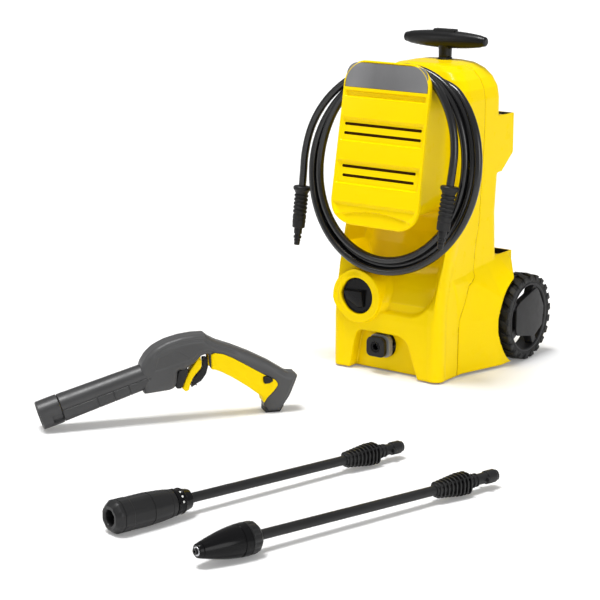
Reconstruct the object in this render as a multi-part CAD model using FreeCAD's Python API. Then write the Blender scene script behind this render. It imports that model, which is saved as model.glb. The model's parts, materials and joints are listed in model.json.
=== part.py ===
import FreeCAD, Part
import math
import os

# Wheeled electric pressure washer with its hose, spray gun and two lances.
# Millimetres.  X is the operator's right, Y points to the back, Z is up.
# The origin is on the floor, on the centre plane, under the pump and motor.

V = FreeCAD.Vector
X, Y, Z = V(1, 0, 0), V(0, 1, 0), V(0, 0, 1)

# ---------------------------------------------------------------- machine
body_height = 513.0
lower_half_width = 105.5
upper_half_width = 97.0
lower_front_y = -135.0
upper_front_y = -58.0
lower_rear_y = 58.0
upper_rear_y = 70.0
hip_z = 108.0                # top of the upright lower front
waist_z = 262.0              # where the sloping front meets the upper body
shell_wall = 3.0
corner_radius = 24.0
shoulder_radius = 58.0
shoulder_depth_front = 30.0
shoulder_depth_rear = 20.0
floor_gap = 2.0              # shells stop this far above the floor
run_gap = 0.3                # clearance between bodies that move apart
bearing_gap = 0.06           # radial running clearance on shafts
seat_gap = 0.05              # radial clearance of seated round parts

# wheels and axle
wheel_radius = 75.0
wheel_width = 38.0
wheel_centre_y = 94.0
wheel_outer_x = 143.0
axle_radius = 5.0
arch_radius = 81.0
arch_side_x = 98.0
tread_depth = 4.0
tread_count = 28
tyre_height = 14.0
tyre_shoulder = 5.0
hub_radius = 13.0
arm_count = 3

# rear box that carries the axle, and the accessory holders
rear_box_y = 108.0
rear_box_bottom = 30.0
cup_floor_z = 120.0
cup_rim_z = 185.0
holder_rear_y = 104.0
holder_bottom_z = 347.0
holder_rim_z = 423.0
lance_hole_radius = 12.5
holder_wall_gap = 8.0         # cup front wall stands this far behind the rear wall
lance_hole_x = 62.0

# front hose holder panel
panel_lean = 0.168           # forward shift per unit of drop
panel_y = -142.0
panel_z = 477.0
panel_top = 47.0
panel_bottom = -222.0
panel_half_top = 83.0
panel_half_bottom = 86.5
panel_thickness = 4.0
panel_relief = 4.0
panel_rim = 3.0
panel_top_radius = 42.0
panel_bottom_radius = 44.0
neck_half_width = 74.0
neck_top_z = 503.0
neck_bottom_z = 274.0
badge_thickness = 1.5

# switch
knob_x = -53.6
knob_z = 129.6
knob_face_y = -142.0
knob_ring_radius = 45.5
knob_recess_radius = 31.0
knob_recess_depth = 14.0
knob_radius = 28.6
knob_shaft_radius = 4.0

# high-pressure outlet
outlet_x = -15.0
outlet_z = 47.6
outlet_face_y = -142.0
outlet_bore_radius = 5.5
outlet_width = 36.0
outlet_height = 34.0
outlet_travel = 4.0
arch_recess_y = -115.0
arch_recess_z = 71.0
outlet_hole_radius = 23.0
water_way_radius = 2.5

# draw-out handle
handle_y = 36.0
handle_radius = 9.0
handle_wall = 2.0
handle_foot_z = 290.0
handle_half_length = 80.0
handle_bar_z = 546.0
handle_bar_radius = 14.0
handle_end_radius = 7.0
handle_travel = 113.0
guide_wall = 4.0
guide_foot_z = 392.0

# pump and motor
pump_x = outlet_x
pump_y = -45.0
gear_module = 1.25
pinion_teeth = 10
gear_teeth = 44
pump_radius = 40.0
head_bottom_z = 24.0
head_top_z = 60.0
housing_top_z = 92.0
gearbox_top_z = 130.0
piston_count = 3
piston_radius = 6.0
piston_circle = 18.0
swash_radius = 26.0
swash_tilt = 8.0
motor_radius = 46.0
motor_wall = 3.0
motor_length = 100.0
motor_shaft_radius = 5.0
commutator_radius = 12.0
fan_radius = 36.0
blade_count = 9
can_radius, can_length = 14.0, 52.0
gear_centres = gear_module * (pinion_teeth + gear_teeth) / 2.0
motor_x = 0.0
motor_y = pump_y + math.sqrt(gear_centres ** 2 - (motor_x - pump_x) ** 2)
base_plate_z = 12.0
base_plate_thickness = 3.0
foot_right_x, foot_left_x = 68.0, 76.0
foot_rear_y = -84.0

# hose wound on the holder
hose_radius = 6.5
coil_lean = 0.107
coil_skew = 0.05
coil_centre_z = 345.0
coil_centre_y = -119.5
coil_thickness = 30.0
coil_outer = (3.5, 345.5, 167.5, 175.5)      # centre x, centre z, half width, half height
coil_inner = (-1.5, 353.5, 132.5, 152.5)
grip_length = 72.0

# spray gun and lances (each with its own axis along the floor)
gun_start = V(-244.0, -693.0, 0.0)
gun_along = V(0.5964, 0.8027, 0.0).normalize()
gun_half_width = 19.0
vario_start = V(135.1, -964.4, 23.3)
vario_end = V(259.7, -484.8, 17.0)
turbo_start = V(297.8, -988.4, 22.9)
turbo_end = V(433.2, -519.2, 17.3)
lance_length = 503.0
lance_tube_radius = 6.8
lance_bore_radius = 3.0
collar_radius = 16.8
vario_stem_radius = 8.0

os.makedirs("parts", exist_ok=True)


# ================================================================ helpers
def save(name, solids):
    if not isinstance(solids, (list, tuple)):
        solids = [solids]
    pieces = []
    for shape in solids:
        pieces.extend(shape.Solids)
    Part.makeCompound(pieces).exportStep("parts/" + name + ".step")


def box(x0, x1, y0, y1, z0, z1):
    return Part.makeBox(x1 - x0, y1 - y0, z1 - z0, V(x0, y0, z0))


def rod(start, axis, radius, length):
    return Part.makeCylinder(radius, length, start, axis)


def ring(start, axis, outer, inner, length):
    return rod(start, axis, outer, length).cut(rod(start, axis, inner, length))


def cone(start, axis, radius_a, radius_b, length):
    return Part.makeCone(radius_a, radius_b, length, start, axis)


def fuse(shapes):
    result = shapes[0].multiFuse(shapes[1:]) if len(shapes) > 1 else shapes[0]
    return result.removeSplitter()


def mirror_x(shape):
    return shape.mirror(V(0, 0, 0), X)


def tangent_edges(points, closed=False, limits=None, share=0.45):
    """Straight runs joined by tangent arcs, with the radius of each arc."""
    count = len(points)
    corners = range(count) if closed else range(1, count - 1)
    trims = {}
    radii = []
    for i in corners:
        before, here, after = points[i - 1], points[i], points[(i + 1) % count]
        arrive, leave = here - before, after - here
        shorter = min(arrive.Length, leave.Length)
        arrive.normalize()
        leave.normalize()
        half_turn = arrive.getAngle(leave) / 2.0
        radius = share * shorter / math.tan(half_turn)
        if limits is not None:
            radius = min(radius, limits[i])
        trim = radius * math.tan(half_turn)
        inward = (leave - arrive).normalize()
        middle = here + inward * (radius / math.cos(half_turn) - radius)
        trims[i] = (here - arrive * trim, middle, here + leave * trim)
        radii.append(radius)
    edges = []
    for i in range(count if closed else count - 1):
        nxt = (i + 1) % count
        start = trims[i][2] if i in trims else points[i]
        end = trims[nxt][0] if nxt in trims else points[nxt]
        if (end - start).Length > 1e-6:
            edges.append(Part.LineSegment(start, end).toShape())
        if nxt in trims:
            edges.append(Part.Arc(*trims[nxt]).toShape())
    return edges, radii


def outline_face(outline, origin, across, up, radii=None):
    points = [origin + across * a + up * b for a, b in outline]
    if radii is None:
        return Part.Face(Part.makePolygon(points + points[:1]))
    edges, _ = tangent_edges(points, True, radii)
    return Part.Face(Part.Wire(edges))


def prism(outline, origin, across, up, sweep, radii=None):
    return outline_face(outline, origin, across, up, radii).extrude(sweep)


def turned(profile, start, axis):
    """Solid of revolution: profile is (distance along the axis, radius)."""
    side = axis.cross(Z)
    if side.Length < 0.5:
        side = axis.cross(X)
    side.normalize()
    points = [start + axis * s + side * r for s, r in profile]
    face = Part.Face(Part.makePolygon(points + points[:1]))
    return face.revolve(start, axis, 360.0)


def circle_of(count, radius, x, y, z, phase=0.0):
    for k in range(count):
        angle = phase + 2.0 * math.pi * k / count
        yield V(x + radius * math.cos(angle), y + radius * math.sin(angle), z)


# ================================================================ body shape
def section(z, half_width, front, rear, corner):
    """Plan section of the body: a rectangle with round corners."""
    points = [V(-half_width, front, z), V(half_width, front, z),
              V(half_width, rear, z), V(-half_width, rear, z)]
    edges, _ = tangent_edges(points, True, [corner] * 4, 0.49)
    return Part.Wire(edges)


def lerp(a, b, share):
    return a + (b - a) * share


def body_loft(inset):
    """The whole body between its plan sections, moved in by an inset."""
    sections = []

    def add(z, half_width, front, rear):
        sections.append(section(z, half_width - inset, front + inset, rear - inset,
                                corner_radius - inset))

    add(floor_gap - 2.0 * inset, lower_half_width, lower_front_y, lower_rear_y)
    add(hip_z - 12.0, lower_half_width, lower_front_y, lower_rear_y)
    steps = ((0.10, 0.045), (0.27, 0.27), (0.68, 0.75), (0.84, 0.90), (1.0, 0.98))
    for rise, back in steps:
        z = lerp(hip_z, waist_z, rise)
        add(z, lerp(lower_half_width, upper_half_width, rise),
            lerp(lower_front_y, upper_front_y, back), lerp(lower_rear_y, upper_rear_y, rise / 2))
    add(330.0, upper_half_width, upper_front_y, upper_rear_y)
    shoulder_z = body_height - shoulder_radius
    for angle in (0, 18, 36, 54, 72, 90):
        s, c = math.sin(math.radians(angle)), math.cos(math.radians(angle))
        add(shoulder_z + shoulder_radius * s - inset * s,
            upper_half_width - shoulder_radius * (1 - c),
            upper_front_y + shoulder_depth_front * (1 - c),
            upper_rear_y - shoulder_depth_rear * (1 - c))
    return Part.makeLoft(sections, True, True)


# front panel frame: the panel leans, its foot further forward than its top
panel_up = V(0, panel_lean, 1).normalize()
panel_out = V(0, -panel_up.z, panel_up.y)
panel_origin = V(0, panel_y, panel_z)


def panel_outline(inset=0.0):
    outline = [(-panel_half_bottom + inset, panel_bottom + inset),
               (panel_half_bottom - inset, panel_bottom + inset),
               (panel_half_top - inset, panel_top - inset),
               (-panel_half_top + inset, panel_top - inset)]
    lower, upper = panel_bottom_radius - inset, panel_top_radius - inset
    return outline, [lower, lower, upper, upper]


def panel_prism(inset, back, front):
    outline, radii = panel_outline(inset)
    return prism(outline, panel_origin + panel_out * back, X, panel_up,
                 panel_out * (front - back), radii)


panel_back = -(panel_thickness + panel_relief)


def neck(inset):
    half, low, high = neck_half_width - inset, neck_bottom_z + inset, neck_top_z - inset
    outline = [(-half, low), (half, low), (half, high), (-half, high)]
    radii = [30.0 - inset, 30.0 - inset, 60.0 - inset, 60.0 - inset]
    block = prism(outline, V(0, -40.0, 0), X, Z, V(0, -160.0, 0), radii)
    ahead = prism([(-120, -400), (120, -400), (120, 200), (-120, 200)],
                  panel_origin + panel_out * panel_back, X, panel_up, panel_out * 200.0)
    return block.cut(ahead)


def fender(inset):
    """Flared side in front of the wheel, with its sloping top (right side)."""
    rows = ((-76.0, 106.0, 100.0, 105.0, 160.0), (-46.0, 114.0, 92.0, 106.0, 158.0),
            (-25.0, 120.0, 88.0, 112.0, 152.0), (20.0, 133.0, 98.0, 132.0, 124.0),
            (58.0, 133.0, 120.0, 132.0, 151.0), (92.0, 112.0, 130.0, 106.0, 174.0))
    wires = []
    for y, x_low, z_side, x_crease, z_crease in rows:
        rim = upper_half_width - inset
        points = [V(80, y, floor_gap + 2 - 2 * inset), V(x_low - inset, y, floor_gap + 2 - 2 * inset),
                  V(x_low - inset, y, z_side - inset), V(x_crease - inset, y, z_crease - inset),
                  V(rim, y, cup_rim_z - inset), V(80, y, cup_rim_z - inset)]
        wires.append(Part.makePolygon(points + points[:1]))
    return Part.makeLoft(wires, True, True)


def wheel_arch(radius, side_x):
    return rod(V(side_x, wheel_centre_y, wheel_radius), X, radius, 60.0)


def rear_box(inset):
    half = upper_half_width - inset
    return box(-half, half, 30.0, rear_box_y - inset, rear_box_bottom + inset, cup_rim_z)


def holder(inset):
    half = upper_half_width - inset
    outline = [(40.0, holder_bottom_z - 20.0), (upper_rear_y - 2, holder_bottom_z - 20.0 + inset),
               (holder_rear_y - inset, holder_bottom_z + 8.0 + inset),
               (holder_rear_y - inset, holder_rim_z), (40.0, holder_rim_z)]
    return prism(outline, V(-half, 0, 0), Y, Z, V(2 * half, 0, 0))


def arch_recess(grow):
    outline = [(-74.0 - grow, -5.0), (67.0 + grow, -5.0),
               (40.0 + grow, arch_recess_z + grow), (-58.0 - grow, arch_recess_z + grow)]
    return prism(outline, V(0, lower_front_y - 10, 0), X, Z,
                 V(0, arch_recess_y - lower_front_y + 10 + grow, 0), [1.0, 1.0, 26.0, 14.0])


def both(shape):
    return [shape, mirror_x(shape)]


def shells():
    outer = body_loft(0.0)
    knob_axis = V(knob_x, knob_face_y, knob_z)
    outer = outer.multiFuse([neck(0.0), rod(knob_axis, Y, knob_ring_radius, 45.0), rear_box(0.0),
                             holder(0.0)] + both(fender(0.0)))
    outer = outer.cut(arch_recess(0.0))
    for arch in both(wheel_arch(arch_radius, arch_side_x)):
        outer = outer.cut(arch)

    inner = body_loft(shell_wall)
    ring_inside = rod(knob_axis + Y * shell_wall, Y, knob_ring_radius - shell_wall, 45.0)
    lower_box = rear_box(shell_wall).common(box(-200, 200, 0, 200, 0, cup_floor_z - shell_wall))
    inner = inner.multiFuse([neck(shell_wall), ring_inside, lower_box] + both(fender(shell_wall)))
    inner = inner.cut(arch_recess(shell_wall))
    for arch in both(wheel_arch(arch_radius + shell_wall, arch_side_x - shell_wall)):
        inner = inner.cut(arch)
    shell = outer.cut(inner)

    # accessory pockets behind the rear wall
    half = upper_half_width - shell_wall
    cup_front = lower_rear_y + holder_wall_gap
    cup = box(-half, half, cup_front, rear_box_y - shell_wall, cup_floor_z, cup_rim_z + 1)
    pocket = box(-half, half, upper_rear_y + 3.0, holder_rear_y - shell_wall,
                 holder_bottom_z + 16.0, holder_rim_z + 1)
    shell = shell.cut(cup).cut(pocket)
    lance_y = (upper_rear_y + holder_rear_y) / 2.0
    for x in (-lance_hole_x, lance_hole_x):
        shell = shell.cut(rod(V(x, lance_y + 1.5, holder_bottom_z - 30), Z, lance_hole_radius, 60.0))
    return outer, shell


seam = [(-76.0, -10.0), (-74.0, 97.0), (-46.0, 151.0), (-27.0, 163.0), (-16.0, 213.0),
        (-2.0, 252.0), (9.6, 404.0), (9.6, 600.0)]


def front_region():
    outline = [(-300.0, -10.0)] + seam + [(-300.0, 600.0)]
    return prism(outline, V(-200, 0, 0), Y, Z, V(400, 0, 0))


# ================================================================ housing
outer_body, shell_body = shells()
split = front_region()

screw_points = [V(x, 0, z) for x in (-80.0, 80.0) for z in (292.0, 446.0)]
screw_radius = 2.0
boss_radius = 6.0
boss_joint_y = 9.6


def make_front_shell():
    shell = shell_body.common(split)
    knob_axis = V(knob_x, knob_face_y, knob_z)
    cup = rod(knob_axis, Y, knob_recess_radius + shell_wall, knob_recess_depth + shell_wall)
    feet = []
    for x0, x1 in ((foot_right_x, 106.0), (-106.0, -foot_left_x)):
        foot = box(x0, x1, lower_front_y - 1, foot_rear_y, floor_gap, base_plate_z)
        feet.append(foot.common(outer_body))
    bosses = []
    for point in screw_points:
        side = 1.0 if point.x > 0 else -1.0
        foot_y = boss_joint_y - 26.0
        bosses.append(rod(V(point.x, foot_y, point.z), Y, boss_radius, 16.0))
        wall_x = side * (upper_half_width - 1.0)
        low, high = min(point.x, wall_x), max(point.x, wall_x)
        bosses.append(box(low, high, foot_y, foot_y + 16.0, point.z - 1.5, point.z + 1.5))
    shell = shell.multiFuse([cup] + feet + bosses)
    shell = shell.cut(rod(knob_axis - Y, Y, knob_recess_radius, knob_recess_depth + 1))
    shell = shell.cut(rod(knob_axis, Y, knob_shaft_radius + run_gap, 30.0))
    shell = shell.cut(rod(V(outlet_x, arch_recess_y - 2, outlet_z), Y, outlet_hole_radius, 12.0))
    for point in screw_points:
        shell = shell.cut(rod(V(point.x, boss_joint_y - 27.0, point.z), Y, screw_radius + seat_gap, 20.0))
    return shell.removeSplitter()


def make_rear_shell():
    shell = shell_body.cut(split)
    bosses = []
    for point in screw_points:
        bosses.append(rod(V(point.x, boss_joint_y - 9.0, point.z), Y, boss_radius, 70.0))
    bosses = [boss.common(outer_body) for boss in bosses]
    guide_outer = handle_radius + run_gap + guide_wall
    guide_rib = box(-3.0, 3.0, handle_y + guide_outer, upper_rear_y - 1, guide_foot_z, guide_foot_z + 60.0)
    shell = shell.multiFuse(bosses + [guide_rib])
    shell = shell.cut(rod(V(0, handle_y, guide_foot_z - 10), Z, guide_outer, 200.0))
    for point in screw_points:
        shell = shell.cut(rod(V(point.x, -30.0, point.z), Y, screw_radius + seat_gap, 140.0))
        shell = shell.cut(rod(V(point.x, upper_rear_y - 3.0, point.z), Y, 4.4, 60.0))
    shell = shell.cut(rod(V(-150, wheel_centre_y, wheel_radius), X, axle_radius + seat_gap, 300.0))
    shell = shell.cut(rod(V(inlet_x, rear_box_y - 8, inlet_z), Y, inlet_radius + seat_gap, 12.0))
    shell = shell.cut(rod(V(gland_x, rear_box_y - 8, gland_z), Y, gland_radius + seat_gap, 12.0))
    return shell.removeSplitter()


inlet_x, inlet_z, inlet_radius = outlet_x, 52.0, 14.0
gland_x, gland_z, gland_radius = 45.0, 52.0, 9.0


def make_housing():
    save("front_shell", make_front_shell())
    save("rear_shell", make_rear_shell())

    plate = box(-92.0, 92.0, arch_recess_y + shell_wall + 0.2, 50.0, base_plate_z,
                base_plate_z + base_plate_thickness)
    seat = rod(V(pump_x, pump_y, base_plate_z), Z, 30.0, head_bottom_z - base_plate_z)
    save("base_plate", plate.fuse(seat).removeSplitter())

    pads = []
    for x0, x1 in ((foot_right_x + 4.0, 100.0), (-100.0, -foot_left_x - 3.0)):
        pads.append(box(x0, x1, -124.0, foot_rear_y - 6.0, 0.0, floor_gap))
    save("front_feet", pads)

    screws = []
    for point in screw_points:
        head = rod(V(point.x, upper_rear_y - 3.0, point.z), Y, 4.0, 2.6)
        shank_length = upper_rear_y - boss_joint_y + 21.5
        shank = rod(V(point.x, boss_joint_y - 24.0, point.z), Y, screw_radius, shank_length)
        screws.append(head.fuse(shank))
    save("housing_screws", screws)


# ================================================================ front panel
def bar(width, w_low, w_high, back, front):
    return prism([(-width, w_low), (width, w_low), (width, w_high), (-width, w_high)],
                 panel_origin + panel_out * back, X, panel_up, panel_out * (front - back))


def along_panel(z):
    return (z - panel_z) / panel_up.z


slab_heights = ((431.0, 463.0), (362.0, 392.0), (294.0, 323.0))
slot_rows = ((420.0, 76.0), (405.0, 76.0), (352.0, 72.0), (337.0, 70.0))
lip_height = 283.0


def make_front_panel():
    base = panel_prism(0.0, panel_back, -panel_relief)
    rim = panel_prism(0.0, panel_back, 0.0).cut(panel_prism(panel_rim, panel_back - 1, 1.0))
    inside = panel_prism(panel_rim - 0.5, panel_back, 0.0)
    pieces = [base, rim]
    for low, high in slab_heights:
        outline = [(0.0, along_panel(low)), (0.0, along_panel(high)),
                   (-panel_relief, along_panel(high + 2.0)), (-panel_relief, along_panel(low - 5.0))]
        slab = prism(outline, panel_origin - X * 90, panel_out, panel_up, X * 180)
        pieces.append(slab.common(inside))
    lip = bar(90.0, panel_bottom, along_panel(lip_height), -panel_relief, 0.0).common(inside)
    pad = bar(90.0, 2.0, panel_top, -panel_relief, -badge_thickness).common(inside)
    step = bar(90.0, -3.0, 2.0, -panel_relief, 0.0).common(inside)
    panel = fuse(pieces + [lip, pad, step])
    for z, half in slot_rows:
        w = along_panel(z)
        slot = prism([(-half, w - 2.4), (half, w - 2.4), (half, w + 2.4), (-half, w + 2.4)],
                     panel_origin + panel_out * (panel_back - 1), X, panel_up, panel_out * 10.0,
                     [2.3] * 4)
        panel = panel.cut(slot)
    save("front_panel", panel)

    badge = panel_prism(panel_rim + 0.1, -badge_thickness, 0.0)
    save("badge_plate", badge.common(bar(90.0, 2.1, panel_top, -badge_thickness, 0.0)))


# ================================================================ switch
def make_switch():
    floor_y = knob_face_y + knob_recess_depth
    centre = V(knob_x, floor_y - run_gap, knob_z)
    disc = rod(centre, -Y, knob_radius, 9.0)
    reach = knob_radius - 2.0
    outline = [(-reach, -5.0), (reach, -7.0), (reach, 7.0), (-reach, 5.0)]
    grip = prism(outline, centre - Y * 9.0, X, Z, V(0, -8.0, 0), [1.5] * 4)
    shaft = rod(centre, Y, knob_shaft_radius, 12.0)
    save("switch_knob", fuse([disc, grip, shaft]))

    switch_y = floor_y + shell_wall + 0.2
    block = box(knob_x - 16, knob_x + 16, switch_y, switch_y + 28.0, knob_z - 18, knob_z + 18)
    bore = rod(V(knob_x, switch_y - 1, knob_z), Y, knob_shaft_radius + bearing_gap, 12.0)
    save("mains_switch", block.cut(bore))


# ================================================================ outlet
def outlet_section(grow, start_y, length):
    half, high = outlet_width / 2 + grow, outlet_height / 2 + grow
    outline = [(-half, -high), (half, -high), (half, high), (-half, high)]
    return prism(outline, V(outlet_x, start_y, outlet_z), X, Z, V(0, length, 0),
                 [8.0, 8.0, 11.0 + grow, 11.0 + grow])


def make_outlet():
    centre = V(outlet_x, outlet_face_y, outlet_z)
    bush_radius = outlet_bore_radius + 3.5
    button = outlet_section(0.0, outlet_face_y, 8.0)
    button = button.cut(rod(centre - Y, Y, bush_radius + run_gap, 12.0))
    save("outlet_release", button)

    sleeve_y = outlet_face_y + 8.0 + outlet_travel + run_gap
    sleeve = outlet_section(2.0, sleeve_y, arch_recess_y - 4.0 - sleeve_y)
    bush = rod(centre + Y * 1.0, Y, bush_radius, sleeve_y - outlet_face_y)
    stub = rod(V(outlet_x, arch_recess_y - 5.0, outlet_z), Y, 15.0, 8.0)
    body = fuse([sleeve, bush, stub])
    body = body.cut(rod(centre - Y, Y, outlet_bore_radius, 24.0))
    body = body.cut(rod(centre, Y, water_way_radius, 60.0))
    save("outlet_body", body)

    head_front = pump_y - (pump_radius - 4.0)
    pipe_start = arch_recess_y + 3.0
    pipe = ring(V(outlet_x, pipe_start, outlet_z), Y, 9.0, water_way_radius, head_front - pipe_start)
    save("outlet_pipe", pipe)


# ================================================================ handle
def make_handle():
    tube = ring(V(0, handle_y, handle_foot_z), Z, handle_radius, handle_radius - handle_wall,
                handle_bar_z - 14.0 - handle_foot_z)
    save("handle_tube", tube)

    stations = 9
    profile = [(-handle_half_length, 0.0)]
    for k in range(stations):
        t = -1.0 + 2.0 * k / (stations - 1)
        radius = lerp(handle_end_radius, handle_bar_radius, (1 - t * t) ** 0.9)
        profile.append((t * handle_half_length, radius))
    profile.append((handle_half_length, 0.0))
    spindle = turned(profile, V(0, handle_y, handle_bar_z), X)
    flare_z = handle_bar_z - 14.0
    flare = cone(V(0, handle_y, flare_z - 8.0), Z, handle_radius + 1.5, handle_radius + 7.0, 16.0)
    grip = fuse([spindle, flare])
    grip = grip.cut(rod(V(0, handle_y, flare_z - 9.0), Z, handle_radius + seat_gap, 9.0))
    grip = grip.cut(box(-21.0, 21.0, handle_y - 7.0, handle_y + 7.0, handle_bar_z + 5.0, handle_bar_z + 30))
    save("handle_grip", grip)

    button = box(-20.7, 20.7, handle_y - 6.7, handle_y + 6.7, handle_bar_z + 9.3, handle_bar_z + 17.5)
    button = button.makeFillet(2.0, [e for e in button.Edges if e.BoundBox.ZMin > handle_bar_z + 17.0])
    save("handle_button", button)

    guide_inner = handle_radius + run_gap
    guide = ring(V(0, handle_y, guide_foot_z), Z, guide_inner + guide_wall, guide_inner,
                 body_height - guide_foot_z + 3.0)
    collar = ring(V(0, handle_y, body_height + 0.2), Z, guide_inner + guide_wall + 2.0, guide_inner, 2.8)
    save("handle_guide", fuse([guide, collar]))


# ================================================================ wheels
def make_wheel():
    inner_x = wheel_outer_x - wheel_width
    centre = V(inner_x, wheel_centre_y, wheel_radius)
    tyre_inner = wheel_radius - tyre_height
    shoulder = wheel_radius - tyre_shoulder
    tyre = turned([(0.0, tyre_inner), (0.0, shoulder), (tyre_shoulder, wheel_radius),
                   (wheel_width - tyre_shoulder, wheel_radius), (wheel_width, shoulder),
                   (wheel_width, tyre_inner)], centre, X)
    for k in range(tread_count):
        angle = 360.0 * k / tread_count
        side = 0.0 if k % 2 else wheel_width / 2.0
        notch = box(inner_x + side - 1.0, inner_x + side + wheel_width / 2.0 + 1.0, wheel_centre_y - 3.0,
                    wheel_centre_y + 3.0, 2 * wheel_radius - tread_depth, 2 * wheel_radius + 5.0)
        notch.rotate(centre, X, angle)
        tyre = tyre.cut(notch)
    rim = ring(centre, X, tyre_inner + 1.0, tyre_inner - 4.0, wheel_width - 3.0)
    hub_start = V(arch_side_x + 0.6, wheel_centre_y, wheel_radius)
    hub = rod(hub_start, X, hub_radius, wheel_outer_x - 4.0 - hub_start.x)
    arms = []
    for k in range(arm_count):
        outline = [(-26.0, 8.0), (26.0, 8.0), (11.0, tyre_inner - 2.0), (-11.0, tyre_inner - 2.0)]
        arm_start = V(inner_x + 16.0, wheel_centre_y, wheel_radius)
        arm = prism(outline, arm_start, Y, Z, X * (wheel_width - 20.0))
        arm.rotate(centre, X, 360.0 / arm_count * k + 50.0)
        arms.append(arm)
    wheel = fuse([tyre, rim, hub] + arms)
    return wheel.cut(rod(V(0, wheel_centre_y, wheel_radius), X, axle_radius + bearing_gap, 200.0))


def make_wheels():
    wheel = make_wheel()
    save("wheel_right", wheel)
    save("wheel_left", mirror_x(wheel))
    tip = wheel_outer_x - 1.0
    save("axle", rod(V(-tip, wheel_centre_y, wheel_radius), X, axle_radius, 2 * tip))
    clip = ring(V(wheel_outer_x - 4.0 + run_gap, wheel_centre_y, wheel_radius), X, 9.0, axle_radius, 3.0)
    save("axle_clips", both(clip))


# ================================================================ pump
def toothed_disc(teeth, x, y, z, height, phase):
    pitch = gear_module * teeth / 2.0
    root, tip = pitch - 1.3 * gear_module, pitch + 0.8 * gear_module
    step = 2.0 * math.pi / teeth
    points = []
    for k in range(teeth):
        angle = phase + k * step
        for share, radius in ((-0.21, root), (-0.10, tip), (0.10, tip), (0.21, root)):
            a = angle + share * step
            points.append(V(x + radius * math.cos(a), y + radius * math.sin(a), z))
    return Part.Face(Part.makePolygon(points + points[:1])).extrude(Z * height)


gear_z = 117.0
gear_height = 8.0
swash_z = 106.0
bearing_height = 4.0
spring_pitch, spring_radius, spring_wire = 1.5, 7.2, 0.9


def coil_spring(foot, length):
    """Spring of square wire, standing up from its foot."""
    turn = Part.makeHelix(spring_pitch, length, spring_radius)
    turn.translate(foot)
    half = spring_wire / 2.0
    corners = [foot + V(spring_radius + a * half, 0, b * half) for a, b in ((-1, -1), (1, -1), (1, 1), (-1, 1))]
    section = Part.makePolygon(corners + corners[:1])
    return Part.Wire(turn.Edges).makePipeShell([section], True, True)


def make_pump():
    axis = V(pump_x, pump_y, 0)
    bores = list(circle_of(piston_count, piston_circle, pump_x, pump_y, 0.0, 0.5))
    block = rod(axis + Z * head_top_z, Z, pump_radius, housing_top_z - head_top_z)
    pump_part = rod(axis + Z * housing_top_z, Z, pump_radius, gearbox_top_z - housing_top_z)
    gearbox_height = gearbox_top_z - housing_top_z
    motor_part = rod(V(motor_x, motor_y, housing_top_z), Z, motor_radius - 14.0, gearbox_height)
    room_height = gearbox_top_z - 4.0 - housing_top_z
    pump_room = rod(axis + Z * housing_top_z, Z, pump_radius - 4.0, room_height)
    pinion_room = rod(V(motor_x, motor_y, housing_top_z + 14.0), Z, 13.0, room_height - 14.0)
    housing = fuse([block, pump_part, motor_part]).cut(fuse([pump_room, pinion_room]))
    for bore in bores:
        housing = housing.cut(rod(bore + Z * head_top_z, Z, piston_radius + seat_gap, 60.0))
    housing = housing.cut(rod(axis + Z * (housing_top_z - 14.0), Z, 6.0 + bearing_gap, 15.0))
    housing = housing.cut(rod(V(motor_x, motor_y, 100.0), Z, motor_shaft_radius + 1.0, 60.0))
    save("pump_housing", housing)

    tilt = math.tan(math.radians(swash_tilt))
    low = V(0, math.sin(math.radians(swash_tilt)), math.cos(math.radians(swash_tilt)))
    blank = rod(axis + Z * (swash_z - 8.0), Z, swash_radius, gear_z - swash_z + 8.0)
    face_point = axis + Z * (swash_z + bearing_height)
    cutter = rod(face_point - low * 60.0, low, 80.0, 60.0)
    swash = blank.cut(cutter)
    save("swash_plate", swash.cut(rod(axis, Z, 6.0 + seat_gap, 200.0)))
    plate = rod(face_point - low * bearing_height, low, swash_radius - 1.0, bearing_height)
    save("thrust_bearing", plate.cut(rod(axis, Z, 9.0, 200.0)))

    gear = toothed_disc(gear_teeth, pump_x, pump_y, gear_z, gear_height, gear_phase)
    shaft = rod(axis + Z * (housing_top_z - 12.0), Z, 6.0, gear_z + gear_height - housing_top_z + 12.0)
    save("drive_gear", fuse([gear, shaft]))

    piston_top = swash_z - swash_radius * tilt - bearing_height / 2.0
    pistons, springs = [], []
    for bore in bores:
        crown = rod(bore + Z * (piston_top - 3.0), Z, 8.0, 3.0)
        stem_foot = head_top_z + 8.0
        stem = rod(bore + Z * stem_foot, Z, piston_radius, piston_top - 3.0 - stem_foot)
        pistons.append(fuse([crown, stem]))
        springs.append(coil_spring(bore + Z * (housing_top_z + 0.6), piston_top - 3.0 - housing_top_z - 1.2))
    save("pistons", pistons)
    save("piston_springs", springs)

    head = rod(axis + Z * head_bottom_z, Z, pump_radius - 4.0, head_top_z - head_bottom_z)
    head = head.cut(rod(V(pump_x, pump_y - 60, outlet_z), Y, water_way_radius, 60.0))
    head = head.cut(rod(V(pump_x, pump_y + 8, inlet_z), Y, 5.0, 60.0))
    bolt_points = list(circle_of(4, pump_radius - 12.0, pump_x, pump_y, 0.0, 0.1))
    bolts = []
    for point in bolt_points:
        head = head.cut(rod(point + Z * (head_bottom_z - 1), Z, 3.0 + seat_gap, 60.0))
        head = head.cut(rod(point + Z * (head_bottom_z - 1), Z, 5.2, 6.0))
        foot = point + Z * (head_bottom_z + 0.5)
        shank = rod(foot, Z, 3.0, head_top_z - head_bottom_z - 1.0)
        bolts.append(fuse([rod(foot, Z, 5.0, 4.5), shank]))
    save("cylinder_head", head)
    save("head_bolts", bolts)

    sensor_x = pump_x + pump_radius - 4.0
    sensor = box(sensor_x + 0.1, sensor_x + 22.0, pump_y - 9.0, pump_y + 9.0, 28.0, 56.0)
    save("pressure_switch", sensor)


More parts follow.
